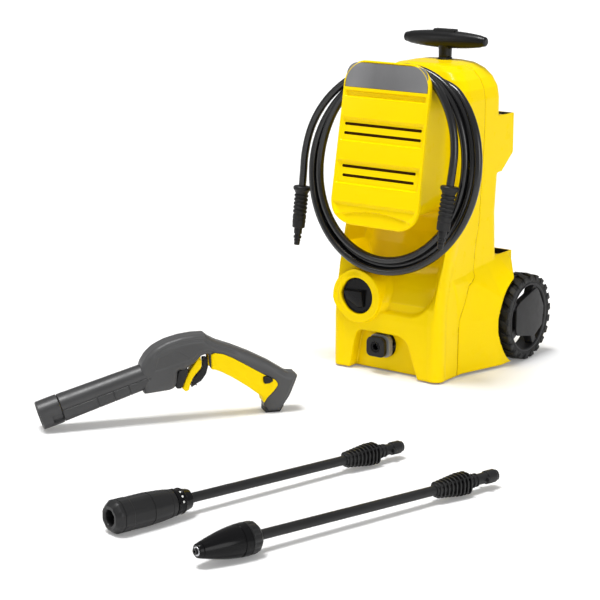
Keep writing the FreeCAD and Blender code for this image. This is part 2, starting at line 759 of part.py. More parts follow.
def make_water_inlet():
    head_rear = pump_y + pump_radius - 4.0
    pipe_end = rear_box_y - 26.0
    save("inlet_pipe", ring(V(inlet_x, head_rear, inlet_z), Y, 8.0, 5.0, pipe_end - head_rear))
    body = turned([(0.0, 5.0), (0.0, 11.0), (14.0, 11.0), (14.0, 18.0), (23.0, 18.0), (23.0, inlet_radius),
                   (26.2, inlet_radius), (26.2, 17.0), (29.0, 17.0), (29.0, 13.2), (47.0, 13.2),
                   (47.0, 9.0), (12.0, 9.0), (12.0, 5.0)],
                  V(inlet_x, pipe_end, inlet_z), Y)
    save("water_inlet", body)
    net = turned([(0.0, 4.0), (0.0, 8.9), (3.0, 8.9), (3.0, 6.0), (28.0, 4.5), (28.0, 0.0), (26.0, 0.0),
                  (26.0, 3.0), (3.0, 4.0)],
                 V(inlet_x, pipe_end + 46.0, inlet_z), -Y)
    save("inlet_filter", net)
    gland = turned([(0.0, 3.6), (0.0, 12.0), (5.0, 12.0), (5.0, gland_radius), (8.0, gland_radius),
                    (8.0, 11.5), (11.0, 11.5), (22.0, 7.0), (22.0, 3.6)],
                   V(gland_x, rear_box_y - 8.0, gland_z), Y)
    save("cable_gland", gland)


# ================================================================ motor
gear_angle = math.atan2(motor_y - pump_y, motor_x - pump_x)
gear_phase = gear_angle
pinion_phase = gear_angle + math.pi + math.pi / pinion_teeth


def make_motor():
    base = V(motor_x, motor_y, gearbox_top_z)
    top = gearbox_top_z + motor_length
    case = ring(base, Z, motor_radius, motor_radius - motor_wall, motor_length)
    floor = ring(base, Z, motor_radius, 11.0 + seat_gap, 5.0)
    lid = ring(base + Z * (motor_length - 5.0), Z, motor_radius, 11.0 + seat_gap, 5.0)
    brush_z = top - 18.0
    case = fuse([case, floor, lid])
    brushes, holders = [], []
    for side in (1.0, -1.0):
        near, far = motor_x + side * (commutator_radius + 0.4), motor_x + side * (motor_radius - 2.0)
        low, high = sorted((near, far))
        brushes.append(box(low, high, motor_y - 4.0, motor_y + 4.0, brush_z - 4.0, brush_z + 4.0))
        inner_x, outer_x = sorted((motor_x + side * 30.0, motor_x + side * motor_radius))
        block = box(inner_x, outer_x, motor_y - 7.0, motor_y + 7.0, brush_z - 7.0, brush_z + 7.0)
        slot = box(low - 1, high, motor_y - 4.0, motor_y + 4.0, brush_z - 4.0, brush_z + 4.0)
        holders.append(block.common(rod(base, Z, motor_radius - 1, motor_length)).cut(slot))
    case = case.multiFuse(holders)
    for brush in brushes:
        case = case.cut(brush)
    save("motor_case", case.removeSplitter())
    save("carbon_brushes", brushes)

    stator = ring(base + Z * 12.0, Z, motor_radius - motor_wall - seat_gap, 27.0, 62.0)
    save("stator", stator)

    bearings = []
    for z in (gearbox_top_z, top - 5.0):
        bearings.append(ring(V(motor_x, motor_y, z), Z, 11.0, motor_shaft_radius + bearing_gap, 5.0))
    save("motor_bearings", bearings)

    pinion = toothed_disc(pinion_teeth, motor_x, motor_y, gear_z - 1.0, gear_height + 1.5, pinion_phase)
    shaft = rod(V(motor_x, motor_y, gear_z + gear_height), Z, motor_shaft_radius - 0.2, 6.0)
    shaft_top = rod(V(motor_x, motor_y, gearbox_top_z), Z, motor_shaft_radius, motor_length + 22.0)
    core = rod(base + Z * 14.0, Z, 26.4, 58.0)
    commutator = rod(V(motor_x, motor_y, brush_z - 6.0), Z, commutator_radius, 12.0)
    save("rotor", fuse([pinion, shaft, shaft_top, core, commutator]))

    hub_z = top + 3.0
    hub = V(motor_x, motor_y, hub_z)
    blades = [ring(hub, Z, 12.0, motor_shaft_radius, 14.0), ring(hub, Z, fan_radius, 11.0, 2.0)]
    for k in range(blade_count):
        blade = box(10.0, fan_radius - 0.5, -1.0, 1.0, 1.0, 12.0)
        blade.translate(hub)
        blade.rotate(hub, Z, 360.0 / blade_count * k)
        blades.append(blade)
    save("fan", fuse(blades))

    can = rod(V(motor_x + motor_radius + can_radius + 0.3, motor_y, 150.0), Z, can_radius, can_length)
    save("capacitor", can)


# ================================================================ hose
def coil_point(x, z):
    drop = coil_centre_z - z
    return V(x - coil_skew * drop, coil_centre_y - coil_lean * drop, z)


def coil_wire(ellipse, count=28):
    centre_x, centre_z, half_width, half_height = ellipse
    points = []
    for k in range(count):
        angle = 2.0 * math.pi * k / count
        points.append(coil_point(centre_x + half_width * math.cos(angle),
                                 centre_z + half_height * math.sin(angle)))
    curve = Part.BSplineCurve()
    curve.interpolate(points, PeriodicFlag=True)
    return Part.Wire(curve.toShape())


def hose_tube(name, points):
    edges, radii = tangent_edges(points)
    path = Part.Wire(edges)
    start = (points[1] - points[0]).normalize()
    circle = Part.Wire(Part.makeCircle(hose_radius, points[0], start))
    tube = path.makePipeShell([circle], True, False)
    expected = math.pi * hose_radius ** 2 * path.Length
    print(name, "length %.0f" % path.Length, "volume ratio %.4f" % (tube.Volume / expected),
          "radii", ["%.0f" % r for r in radii])
    save(name, tube)


right_tail = [V(40, -100, 512), V(70, -110, 502), V(94, -123, 483), V(113.7, -131, 456),
              V(128.5, -138, 424), V(135.5, -145, 391), V(135.1, -149.9, 362.5), V(133, -153, 338)]
left_tail = [V(-42, -99, 512), V(-74, -104, 500), V(-104, -109, 480), V(-133, -111, 456), V(-157, -113, 425),
             V(-172.5, -115.5, 390), V(-179, -119, 351), V(-179.2, -121, 325), V(-180.5, -123, 300)]
right_grip_axis = V(-6.0, -9.0, -70.0).normalize()
left_grip_axis = V(-4.0, -6.0, -71.0).normalize()


def make_hose():
    outer, inner = Part.Face(coil_wire(coil_outer)), Part.Face(coil_wire(coil_inner))
    across = V(0, -1, coil_lean).normalize() * -coil_thickness
    shift = across * -0.5
    disc, hole = outer.extrude(across), inner.extrude(across)
    coil = disc.cut(hole)
    coil.translate(shift)
    # the turns hang on the neck and lean on the switch's ring
    knob_ring = rod(V(knob_x, knob_face_y, knob_z), Y, knob_ring_radius, 45.0)
    save("hose_coil", coil.cut(neck(0.0)).cut(knob_ring))
    hose_tube("hose_tail_right", right_tail)
    hose_tube("hose_tail_left", left_tail)
    ends = (("right", right_tail[-1], right_grip_axis), ("left", left_tail[-1], left_grip_axis))
    for side, top, axis in ends:
        grip = turned([(0.0, 0.0), (0.0, 12.0), (3.0, 15.0), (6.0, 15.0), (14.0, 11.0), (48.0, 10.6),
                       (50.0, 11.5), (grip_length, 10.5), (grip_length, 0.0)], top, axis)
        save("hose_grip_" + side, grip)
        nipple = turned([(0.0, 0.0), (0.0, 7.0), (10.0, 7.0), (10.0, 5.0), (14.0, 5.0), (14.0, 6.8),
                         (18.0, 6.8), (18.0, 5.0), (30.0, 5.0), (30.0, 0.0)],
                        top + axis * grip_length, axis)
        save("hose_nipple_" + side, nipple)


# ================================================================ spray gun
gun_side = gun_along.cross(Z)


def gun_point(s, h, across=0.0):
    return gun_start + gun_along * s + Z * h + gun_side * across


def gun_prism(outline, half_from, half_to, radii=None):
    return prism(outline, gun_point(0, 0, half_from), gun_along, Z, gun_side * (half_to - half_from), radii)


barrel_tilt = math.atan2(45.0, 150.0)
barrel_dir = gun_along * math.cos(barrel_tilt) + Z * math.sin(barrel_tilt)
barrel_start = gun_point(-8.0, 23.2)
gun_outline = [(148.0, 47.0), (190.0, 52.0), (210.0, 68.0), (226.0, 94.0), (262.0, 94.0), (306.0, 72.0),
               (336.0, 48.0), (349.0, 18.0), (349.0, 1.0), (371.0, 0.5), (396.0, 42.0), (398.0, 58.0),
               (345.0, 92.0), (306.0, 116.0), (282.0, 128.0), (252.0, 135.0), (206.0, 129.0), (168.0, 112.0),
               (150.0, 92.0)]
gun_radii = [6.0, 14.0, 14.0, 9.0, 30.0, 60.0, 30.0, 12.0, 5.0, 5.0, 14.0, 7.0, 80.0, 60.0, 10.0, 30.0, 60.0,
             40.0, 8.0]
insert_outline = [(262.0, 90.0), (306.0, 68.5), (334.0, 45.0), (345.0, 22.0), (352.0, 24.0), (366.0, 46.0),
                  (352.0, 64.0), (322.0, 84.0), (290.0, 100.0), (266.0, 106.0), (256.0, 100.0)]
insert_radii = [8.0, 60.0, 20.0, 3.0, 4.0, 8.0, 20.0, 60.0, 30.0, 8.0, 5.0]
trigger_outline = [(229.5, 93.0), (225.0, 78.0), (217.0, 62.0), (216.0, 50.0), (222.0, 45.0), (229.0, 47.0),
                   (240.0, 62.0), (244.5, 93.0)]
trigger_radii = [3.0, 20.0, 10.0, 4.0, 3.0, 3.0, 20.0, 3.0]
lock_outline = [(233.0, 47.5), (248.0, 54.0), (254.0, 68.0), (253.0, 94.0), (248.5, 94.0), (243.5, 64.0)]
lock_radii = [2.0, 5.0, 6.0, 2.0, 2.0, 10.0]
trigger_pivot = (238.0, 100.0)
lock_pivot = (250.5, 92.0)
insert_half_width = gun_half_width + 0.6
trigger_room = [(212.0, 40.0), (206.0, 56.0), (216.0, 76.0), (221.0, 107.0), (259.0, 107.0), (258.0, 40.0)]
room_half_width = 9.0
pin_half_width = room_half_width - run_gap
button_depth = 6.0            # the button's inner end lies this far from the middle plane
button_stand = 1.9


def make_gun():
    insert = gun_prism(insert_outline, -insert_half_width, insert_half_width, insert_radii)
    button_place = gun_point(352.0, 51.0)
    button_hole = rod(button_place + gun_side * -20.0, gun_side, 6.0 + run_gap, 40.0)
    save("gun_grip_insert", insert.cut(button_hole))
    button_length = insert_half_width + button_stand - button_depth
    save("gun_release_button", rod(button_place + gun_side * button_depth, gun_side, 6.0, button_length))

    muzzle = rod(barrel_start, barrel_dir, 22.5, 34.0)
    socket = rod(barrel_start - barrel_dir, barrel_dir, 16.5, 36.0)
    save("gun_muzzle_ring", muzzle.cut(socket))

    barrel = cone(barrel_start + barrel_dir * 34.0, barrel_dir, 22.0, 20.0, 140.0)
    body = gun_prism(gun_outline, -gun_half_width, gun_half_width, gun_radii)
    shell = fuse([body, barrel])
    valve_from = barrel_start + barrel_dir * 34.0
    shell = shell.cut(rod(valve_from - barrel_dir, barrel_dir, 7.0 + seat_gap, 160.0))
    shell = shell.cut(gun_prism(insert_outline, -insert_half_width - 1, insert_half_width + 1, insert_radii))
    shell = shell.cut(button_hole)
    shell = shell.cut(gun_prism(trigger_room, -room_half_width, room_half_width))
    left_half = gun_prism([(-60.0, -60.0), (460.0, -60.0), (460.0, 200.0), (-60.0, 200.0)], -60.0, 0.0)
    save("gun_shell_left", shell.common(left_half))
    save("gun_shell_right", shell.cut(left_half))

    valve = rod(valve_from, barrel_dir, 7.0, 150.0)
    save("gun_valve", valve)

    pin = rod(gun_point(*trigger_pivot, -pin_half_width), gun_side, 4.0, 2 * pin_half_width)
    lever = gun_prism([(231.0, 90.0), (244.0, 90.0), (243.0, 102.0), (233.0, 102.0)],
                      -pin_half_width, pin_half_width)
    save("gun_trigger", fuse([gun_prism(trigger_outline, -8.5, 8.5, trigger_radii), lever, pin]))
    lock_pin = rod(gun_point(*lock_pivot, -pin_half_width), gun_side, 2.5, 2 * pin_half_width)
    save("gun_lock", fuse([gun_prism(lock_outline, -7.5, 7.5, lock_radii), lock_pin]))


# ================================================================ lances
def lance_tail(start, axis, tube_from, collar_from):
    """Tube, finned collar and bayonet of one lance, measured from its nozzle."""
    end = lance_length
    lug = end - 30.0
    neck_radius = 8.0
    pieces = [rod(start + axis * tube_from, axis, lance_tube_radius, collar_from - tube_from + 5.0),
              cone(start + axis * collar_from, axis, 9.0, collar_radius - 4.0, 55.0),
              rod(start + axis * (collar_from + 50.0), axis, neck_radius, end - collar_from - 50.0),
              ring(start + axis * (end - 20.0), axis, 9.5, neck_radius, 16.0)]
    for k in range(8):
        place = collar_from + 4.0 + 7.5 * k
        radius = lerp(11.5, collar_radius, min(1.0, (k + 1) / 6.0))
        pieces.append(rod(start + axis * place, axis, radius, 3.0))
    across = axis.cross(Z).normalize()
    wing = box(-13.0, 13.0, 0.0, 6.0, -4.0, 4.0)
    wing.Placement = FreeCAD.Placement(start + axis * lug,
                                       FreeCAD.Rotation(across, axis, across.cross(axis), "XYZ"))
    spine = box(-2.0, 2.0, 0.0, 58.0, -collar_radius + 2.0, collar_radius - 2.0)
    spine.Placement = FreeCAD.Placement(start + axis * (collar_from + 4.0),
                                        FreeCAD.Rotation(across, axis, across.cross(axis), "XYZ"))
    tail = fuse(pieces + [wing, spine])
    return tail.cut(rod(start + axis * (tube_from - 1.0), axis, lance_bore_radius, end))


def make_lances():
    axis = (vario_end - vario_start).normalize()
    tail = lance_tail(vario_start, axis, 100.0, 395.0)
    inside = lance_tube_radius - 0.5
    ring_piece = turned([(98.0, inside), (98.0, 18.5), (110.0, 18.0), (124.0, 14.0), (126.0, inside)],
                        vario_start, axis)
    stem = ring(vario_start + axis * 30.0, axis, vario_stem_radius, lance_bore_radius, 72.0)
    save("vario_lance", fuse([tail, ring_piece, stem]))
    bore = vario_stem_radius + bearing_gap
    head = turned([(0.0, 10.0), (0.0, 17.0), (7.0, 22.7), (26.0, 22.7), (28.0, 22.0), (52.0, 22.5),
                   (80.0, 21.0), (97.4, 18.6), (97.4, bore), (18.0, bore), (18.0, 10.0)],
                  vario_start, axis)
    save("vario_head", head)

    axis = (turbo_end - turbo_start).normalize()
    tail = lance_tail(turbo_start, axis, 78.0, 390.0)
    ring_piece = ring(turbo_start + axis * 76.0, axis, 21.5, inside, 14.0)
    back = turned([(90.0, inside), (90.0, 19.0), (93.0, 17.0), (93.0, inside)], turbo_start, axis)
    save("turbo_lance", fuse([tail, ring_piece, back]))
    profile = [(3.0, 4.5), (3.0, 9.0), (20.0, 13.2), (38.0, 17.8), (56.0, 20.8), (76.0, 22.0), (76.0, 17.0),
               (40.0, 12.5), (16.0, 7.5), (16.0, 4.5)]
    save("turbo_head", turned(profile, turbo_start, axis))
    profile = [(0.0, 2.0), (0.0, 4.2), (16.3, 4.2), (16.3, 7.0), (40.0, 12.0), (75.5, 13.0), (75.5, 2.0)]
    nozzle = turned(profile, turbo_start, axis)
    save("turbo_rotor", nozzle)


make_housing()
make_front_panel()
make_switch()
make_outlet()
make_handle()
make_wheels()
make_pump()
make_water_inlet()
make_motor()
make_hose()
make_gun()
make_lances()
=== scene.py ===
import json
import math
import bpy
import bmesh
import numpy as np
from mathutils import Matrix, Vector


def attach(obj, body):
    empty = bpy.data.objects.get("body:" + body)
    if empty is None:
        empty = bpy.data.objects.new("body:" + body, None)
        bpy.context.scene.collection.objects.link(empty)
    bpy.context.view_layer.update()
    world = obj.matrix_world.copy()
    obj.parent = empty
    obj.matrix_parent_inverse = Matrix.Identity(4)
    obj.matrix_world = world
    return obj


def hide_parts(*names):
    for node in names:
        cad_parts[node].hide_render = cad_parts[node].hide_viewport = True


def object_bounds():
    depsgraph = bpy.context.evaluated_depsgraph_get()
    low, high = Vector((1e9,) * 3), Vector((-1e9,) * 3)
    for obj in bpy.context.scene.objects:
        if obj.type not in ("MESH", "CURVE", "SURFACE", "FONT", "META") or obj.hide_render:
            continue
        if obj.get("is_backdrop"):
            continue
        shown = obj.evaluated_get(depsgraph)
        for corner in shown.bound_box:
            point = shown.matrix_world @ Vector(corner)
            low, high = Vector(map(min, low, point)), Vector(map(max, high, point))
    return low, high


# Electric pressure washer with its hose, spray gun and two lances.
# Sizes are in millimetres here and become metres where a mesh is made.

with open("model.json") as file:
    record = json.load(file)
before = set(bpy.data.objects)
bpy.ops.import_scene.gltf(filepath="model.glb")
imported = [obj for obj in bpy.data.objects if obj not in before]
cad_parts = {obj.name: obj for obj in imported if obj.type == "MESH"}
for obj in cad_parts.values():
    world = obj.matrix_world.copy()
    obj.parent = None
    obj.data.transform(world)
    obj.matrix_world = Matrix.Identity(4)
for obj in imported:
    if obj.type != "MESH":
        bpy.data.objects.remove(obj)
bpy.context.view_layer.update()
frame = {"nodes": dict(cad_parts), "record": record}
nodes = frame["nodes"]
scene = bpy.context.scene
MM = 0.001
X, Y, Z = Vector((1, 0, 0)), Vector((0, 1, 0)), Vector((0, 0, 1))


def at(x, y, z):
    return Vector((x, y, z))


def placed(name, data):
    """A new object in the scene."""
    obj = bpy.data.objects.new(name, data)
    scene.collection.objects.link(obj)
    return obj


# ======== materials
looks = {}


def material(name):
    """A new material, kept in looks; gives its node tree and its shader."""
    looks[name] = bpy.data.materials.new(name)
    looks[name].use_nodes = True
    tree = looks[name].node_tree
    return tree, tree.nodes["Principled BSDF"]


def feed(tree, node, values):
    """Sets inputs of a node: each value is a number, a colour or another node's output."""
    for socket, value in values.items():
        if isinstance(value, bpy.types.NodeSocket):
            tree.links.new(value, node.inputs[socket])
        else:
            node.inputs[socket].default_value = value


def added(tree, kind, values):
    """A new node with its inputs set."""
    node = tree.nodes.new("ShaderNode" + kind)
    feed(tree, node, values)
    return node


def object_place(tree):
    return added(tree, "TexCoord", {}).outputs["Object"]


def object_noise(tree, scale, detail=3.0, stretch=(1, 1, 1), roughness=0.5):
    mapping = added(tree, "Mapping", {"Vector": object_place(tree), "Scale": stretch})
    noise = added(tree, "TexNoise", {"Vector": mapping.outputs["Vector"], "Scale": scale, "Detail": detail,
                                     "Roughness": roughness})
    return noise.outputs["Fac"]


def mapped(tree, value, low, high, out_low=0.0, out_high=1.0):
    limits = {"Value": value, "From Min": low, "From Max": high, "To Min": out_low, "To Max": out_high}
    return added(tree, "MapRange", limits).outputs["Result"]


def blended(tree, factor, first, second):
    """Mix of two colours; each is three numbers or another node's output."""
    node = tree.nodes.new("ShaderNodeMix")
    node.data_type = "RGBA"
    first, second = [(*colour, 1) if isinstance(colour, tuple) else colour for colour in (first, second)]
    feed(tree, node, {"A": first, "B": second, "Factor": factor})
    return node.outputs["Result"]


def bumped(tree, shader, heights):
    """heights: (factor, strength, distance) stacked one on the other."""
    below = {}
    for factor, strength, distance in heights:
        bump = added(tree, "Bump", {"Height": factor, "Strength": strength, "Distance": distance, **below})
        below = {"Normal": bump.outputs["Normal"]}
    feed(tree, shader, below)


def moulded(name, colour, shade, rough, spread=0.08, grain=0.25, grain_scale=1800.0, coat=0.0, specular=0.5,
            crease_shade=None):
    """Plastic with a slow drift of colour, uneven gloss and a fine eroded grain; its creases and tight
    corners are darkened as painted shade.
    """
    tree, shader = material(name)
    tint = blended(tree, mapped(tree, object_noise(tree, 9.0, 4.0), 0.35, 0.65), colour, shade)
    # painted shade: ambient occlusion turns creases, slots and tight corners towards the darker colour
    if crease_shade:
        crease = added(tree, "AmbientOcclusion", {"Distance": 0.010})
        crease.samples = 6
        tint = blended(tree, mapped(tree, crease.outputs["AO"], 0.12, 0.80), crease_shade, tint)
    gloss = mapped(tree, object_noise(tree, 45.0, 5.0, roughness=0.65), 0.3, 0.7, rough, rough + spread)
    feed(tree, shader, {"Base Color": tint, "Roughness": gloss, "Coat Weight": coat, "Coat Roughness": 0.12,
                        "Specular IOR Level": specular})
    bumped(tree, shader, [(object_noise(tree, 60.0, 2.0), 0.04, 0.0006),
                          (object_noise(tree, grain_scale, 2.0), grain, 0.00008)])


def rubber(name, colour, shade, rough, specular=0.3, grain=0.2, spread=0.12):
    """Rubber, faintly dusty, with a fine grain."""
    tree, shader = material(name)
    dust = mapped(tree, object_noise(tree, 30.0, 6.0, roughness=0.7), 0.45, 0.75)
    gloss = mapped(tree, object_noise(tree, 120.0, 3.0), 0.3, 0.7, rough, rough + spread)
    feed(tree, shader, {"Base Color": blended(tree, dust, colour, shade), "Roughness": gloss,
                        "Specular IOR Level": specular})
    bumped(tree, shader, [(object_noise(tree, 900.0, 3.0), grain, 0.0001)])


def metal(name, colour, shade, rough, stretch=(1, 1, 1), scale=400.0):
    """Metal with fine tool or brush marks along the axis that stretch leaves short."""
    tree, shader = material(name)
    marks = object_noise(tree, scale, 4.0, stretch, 0.7)
    feed(tree, shader, {"Base Color": blended(tree, mapped(tree, marks, 0.3, 0.7), colour, shade),
                        "Roughness": mapped(tree, marks, 0.3, 0.7, rough, rough + 0.15), "Metallic": 1.0})
    bumped(tree, shader, [(marks, 0.15, 0.00005)])


def satin_badge_painted_reflection():
    """Satin metal badge with fine grain; its colour is darkest in its middle and lighter towards both ends as
    a painted reflection.
    """
    tree, shader = material("brushed_badge")
    split = added(tree, "SeparateXYZ", {"Vector": object_place(tree)})
    ramp = added(tree, "ValToRGB", {"Fac": mapped(tree, split.outputs["X"], -0.083, 0.083)})
    # painted reflection: grey levels across the badge, lighter towards both ends
    stops = ((0.0, 0.26), (0.12, 0.27), (0.36, 0.18), (0.58, 0.18), (0.85, 0.24), (1.0, 0.28))
    for k, (place, grey) in enumerate(stops):
        stop = ramp.color_ramp.elements[k] if k < 2 else ramp.color_ramp.elements.new(place)
        stop.position = place
        stop.color = (grey, grey, grey * 1.02, 1)
    grain = object_noise(tree, 300.0, 3.0, (1, 0.2, 0.2), 0.6)
    feed(tree, shader, {"Base Color": ramp.outputs["Color"], "Metallic": 0.8,
                        "Roughness": mapped(tree, grain, 0.3, 0.7, 0.36, 0.44)})
    bumped(tree, shader, [(grain, 0.05, 0.00003)])


# the third yellow, and the dark colours given to the plastics below for their creases, are painted shade
YELLOW, YELLOW_SHADE, YELLOW_CREASE_SHADE = (0.95, 0.685, 0), (0.94, 0.67, 0), (0.30, 0.13, 0)
BLACK, BLACK_SHADE = (0.004, 0.004, 0.0045), (0.006, 0.006, 0.0065)
moulded("yellow_shell", YELLOW, YELLOW_SHADE, 0.26, 0.06, 0.05, 1500.0, coat=0.10, specular=0.03,
        crease_shade=YELLOW_CREASE_SHADE)
moulded("yellow_grip", (0.93, 0.67, 0), (0.91, 0.65, 0), 0.40, 0.08, 0.2, 1400.0, specular=0.08,
        crease_shade=(0.30, 0.15, 0))
moulded("black_plastic", BLACK, BLACK_SHADE, 0.28, 0.10, 0.2, specular=0.3)
moulded("gloss_black", BLACK, BLACK_SHADE, 0.16, 0.05, 0.04, coat=0.02, specular=0.14)
moulded("graphite_plastic", (0.058, 0.058, 0.059), (0.070, 0.070, 0.071), 0.36, 0.10, 0.35, 1300.0,
        specular=0.3, crease_shade=(0.006, 0.006, 0.006))
moulded("barrel_plastic", (0.030, 0.030, 0.031), (0.038, 0.038, 0.039), 0.34, 0.10, 0.35, 1300.0,
        specular=0.4, crease_shade=(0.004, 0.004, 0.004))
moulded("lance_plastic", (0.011, 0.011, 0.0115), (0.016, 0.016, 0.0165), 0.36, 0.10, 0.4, 1100.0,
        specular=0.3, crease_shade=(0.004, 0.004, 0.004))
moulded("dark_plastic", (0.010, 0.010, 0.011), (0.014, 0.014, 0.015), 0.50, 0.10, specular=0.3)
moulded("grey_plastic", (0.20, 0.205, 0.21), (0.235, 0.24, 0.245), 0.42, 0.10)
moulded("white_plastic", (0.75, 0.75, 0.72), (0.68, 0.68, 0.65), 0.40, 0.10)
moulded("wheel_plastic", (0.016, 0.016, 0.017), (0.022, 0.022, 0.023), 0.42, 0.12, 0.3, specular=0.3)
moulded("slot_shadow", (0.060, 0.024, 0), (0.050, 0.020, 0), 0.7, 0.1, specular=0.1)
rubber("tyre_rubber", (0.006, 0.006, 0.006), (0.012, 0.012, 0.011), 0.50)
rubber("soft_black", (0.008, 0.008, 0.0085), (0.012, 0.012, 0.012), 0.42)
rubber("hose_rubber", BLACK, (0.006, 0.006, 0.006), 0.24, 0.60, 0.01, 0.02)
rubber("carbon", (0.02, 0.02, 0.02), (0.03, 0.03, 0.03), 0.6)
satin_badge_painted_reflection()
metal("zinc_steel", (0.62, 0.62, 0.64), (0.50, 0.50, 0.52), 0.28)
metal("aluminium", (0.60, 0.60, 0.62), (0.52, 0.52, 0.54), 0.42)
metal("brass", (0.72, 0.52, 0.20), (0.60, 0.42, 0.16), 0.30)
metal("lamination", (0.25, 0.25, 0.27), (0.15, 0.15, 0.16), 0.45, (0.05, 0.05, 1), 900.0)
metal("copper_winding", (0.70, 0.30, 0.14), (0.50, 0.20, 0.09), 0.35, (0.1, 0.1, 1), 900.0)
for part in frame["record"]["subparts"]:
    node = nodes[part["node"]]
    node.data.materials.clear()
    node.data.materials.append(looks[part["material_slot"]])


# ======== mesh tools
def solid(points, faces, bevel=0.0):
    """A closed mesh from points in millimetres, its sharper edges bevelled if asked."""
    mesh = bpy.data.meshes.new("solid")
    mesh.from_pydata([Vector(p) * MM for p in points], [], faces)
    work = bmesh.new()
    work.from_mesh(mesh)
    bmesh.ops.recalc_face_normals(work, faces=work.faces)
    if bevel:
        sharp = [e for e in work.edges if e.is_manifold and e.calc_face_angle(0.0) > math.radians(28.0)]
        bmesh.ops.bevel(work, geom=sharp, offset=bevel * MM, segments=3, profile=0.5, affect="EDGES",
                        clamp_overlap=True)
    work.to_mesh(mesh)
    work.free()
    return mesh


def baked(obj, modifiers):
    """The same object with modifiers (type, settings) worked into its mesh."""
    for kind, settings in modifiers:
        added = obj.modifiers.new(kind, kind)
        for key, value in settings.items():
            setattr(added, key, value)
    graph = bpy.context.evaluated_depsgraph_get()
    mesh = bpy.data.meshes.new_from_object(obj.evaluated_get(graph))
    obj.modifiers.clear()
    obj.data = mesh
    return obj


def joined(name, meshes, weld=False):
    """Several meshes as one."""
    work = bmesh.new()
    for mesh in meshes:
        work.from_mesh(mesh)
    if weld:
        bmesh.ops.remove_doubles(work, verts=work.verts, dist=1e-6)
    merged = bpy.data.meshes.new(name)
    work.to_mesh(merged)
    work.free()
    return merged


def piece(name, meshes, look, body, sharp=32.0, changes=(), instead=(), weld=False, holes=()):
    """Meshes made into one object with a material, parented to its body; the CAD nodes it stands for are
    hidden.

    holes are closed meshes that are cut out of it before the changes."""
    obj = placed(name, joined(name, meshes, weld))
    cutters = [placed("cutter", hole) for hole in holes]
    cuts = [("BOOLEAN", {"operation": "DIFFERENCE", "object": cutter, "solver": "EXACT"})
            for cutter in cutters]
    if cuts or changes:
        baked(obj, cuts + list(changes))
    for cutter in cutters:
        bpy.data.objects.remove(cutter)
    obj.data.materials.clear()
    obj.data.materials.append(looks[look])
    obj.data.shade_smooth()
    obj.data.set_sharp_from_angle(angle=math.radians(sharp))
    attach(obj, body)
    if instead:
        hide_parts(*instead)
    return obj


def smoothing(steps):
    return ("SMOOTH", {"factor": 0.5, "iterations": steps})


def melting(voxel, steps):
    return [("REMESH", {"mode": "VOXEL", "voxel_size": voxel * MM}), smoothing(steps)]


def rounded_copy(name, source, voxel, steps, look, body):
    """A CAD solid melted into one skin, with edges as round as moulded ones."""
    return piece(name, [nodes[source].data], look, body, 60.0, melting(voxel, steps), [source], True)


def second_look(obj, look, chosen):
    """Another material for the faces whose centres, in millimetres, are chosen."""
    centres = np.empty(len(obj.data.polygons) * 3)
    obj.data.polygons.foreach_get("center", centres)
    obj.data.materials.append(looks[look])
    obj.data.polygons.foreach_set("material_index", chosen(centres.reshape(-1, 3) / MM).astype(np.int32))


def moved(obj, change):
    """Moves the points of a mesh: change takes and gives an array of places in millimetres."""
    count = len(obj.data.vertices)
    flat = np.empty(count * 3)
    obj.data.vertices.foreach_get("co", flat)
    flat = (change(flat.reshape(-1, 3) / MM) * MM).ravel()
    obj.data.vertices.foreach_set("co", flat)
    obj.data.update()


def soft(t):
    """0 to 1 with an easy start and end."""
    t = np.clip(t, 0.0, 1.0)
    return t * t * (3.0 - 2.0 * t)


def inside_depth(a, b, outline):
    """How far points (a, b) lie inside a closed outline; negative outside it."""
    nearest = np.full(len(a), 1e9)
    inside = np.zeros(len(a), dtype=bool)
    for (a0, b0), (a1, b1) in zip(outline, outline[1:] + outline[:1]):
        run, rise = a1 - a0, b1 - b0
        share = np.clip(((a - a0) * run + (b - b0) * rise) / (run * run + rise * rise + 1e-12), 0.0, 1.0)
        nearest = np.minimum(nearest, np.hypot(a - a0 - share * run, b - b0 - share * rise))
        if rise:
            inside ^= ((b0 > b) != (b1 > b)) & (a < a0 + (b - b0) * run / rise)
    return np.where(inside, nearest, -nearest)


def frame_axes(axis, up=Z):
    """Two unit vectors across an axis; the second one is the nearer to up."""
    side = axis.cross(up)
    if side.length < 0.1:
        side = axis.cross(X)
    side.normalize()
    return side, side.cross(axis).normalized()


def spoke(side, up, angle):
    return side * math.cos(angle) + up * math.sin(angle)


def turned(profile, start, axis, count=72, shape=None, closed=False):
    """Turned mesh. profile: (along, radius); shape(angle, along) scales a radius."""
    axis = axis.normalized()
    side, up = frame_axes(axis)
    points, faces, rings = [], [], []
    for along, radius in profile:
        if radius < 1e-6:
            points.append(start + axis * along)
            rings.append([len(points) - 1] * count)
            continue
        first = len(points)
        for k in range(count):
            angle = 2.0 * math.pi * k / count
            r = radius * (shape(angle, along) if shape else 1.0)
            points.append(start + axis * along + spoke(side, up, angle) * r)
        rings.append(list(range(first, first + count)))
    pairs = list(zip(rings, rings[1:]))
    if closed:
        pairs.append((rings[-1], rings[0]))
    for a, b in pairs:
        for k in range(count):
            n = (k + 1) % count
            corners = list(dict.fromkeys((a[k], a[n], b[n], b[k])))
            if len(corners) > 2:
                faces.append(corners)
    return solid(points, faces)


def eased(profile, radius=0.6, steps=3):
    """Rounds the corners of an open (along, radius) profile."""
    result = [profile[0]]
    for before, here, after in zip(profile, profile[1:], profile[2:]):
        a, b, c = Vector(before), Vector(here), Vector(after)
        cut = min(radius, (a - b).length * 0.45, (c - b).length * 0.45)
        if cut < 0.02 or here[1] < 1e-6:
            result.append(here)
            continue
        start, end = b + (a - b).normalized() * cut, b + (c - b).normalized() * cut
        for k in range(steps + 1):
            t = k / steps
            point = start * (1 - t) ** 2 + b * 2 * t * (1 - t) + end * t ** 2
            result.append((point.x, point.y))
    result.append(profile[-1])
    return result


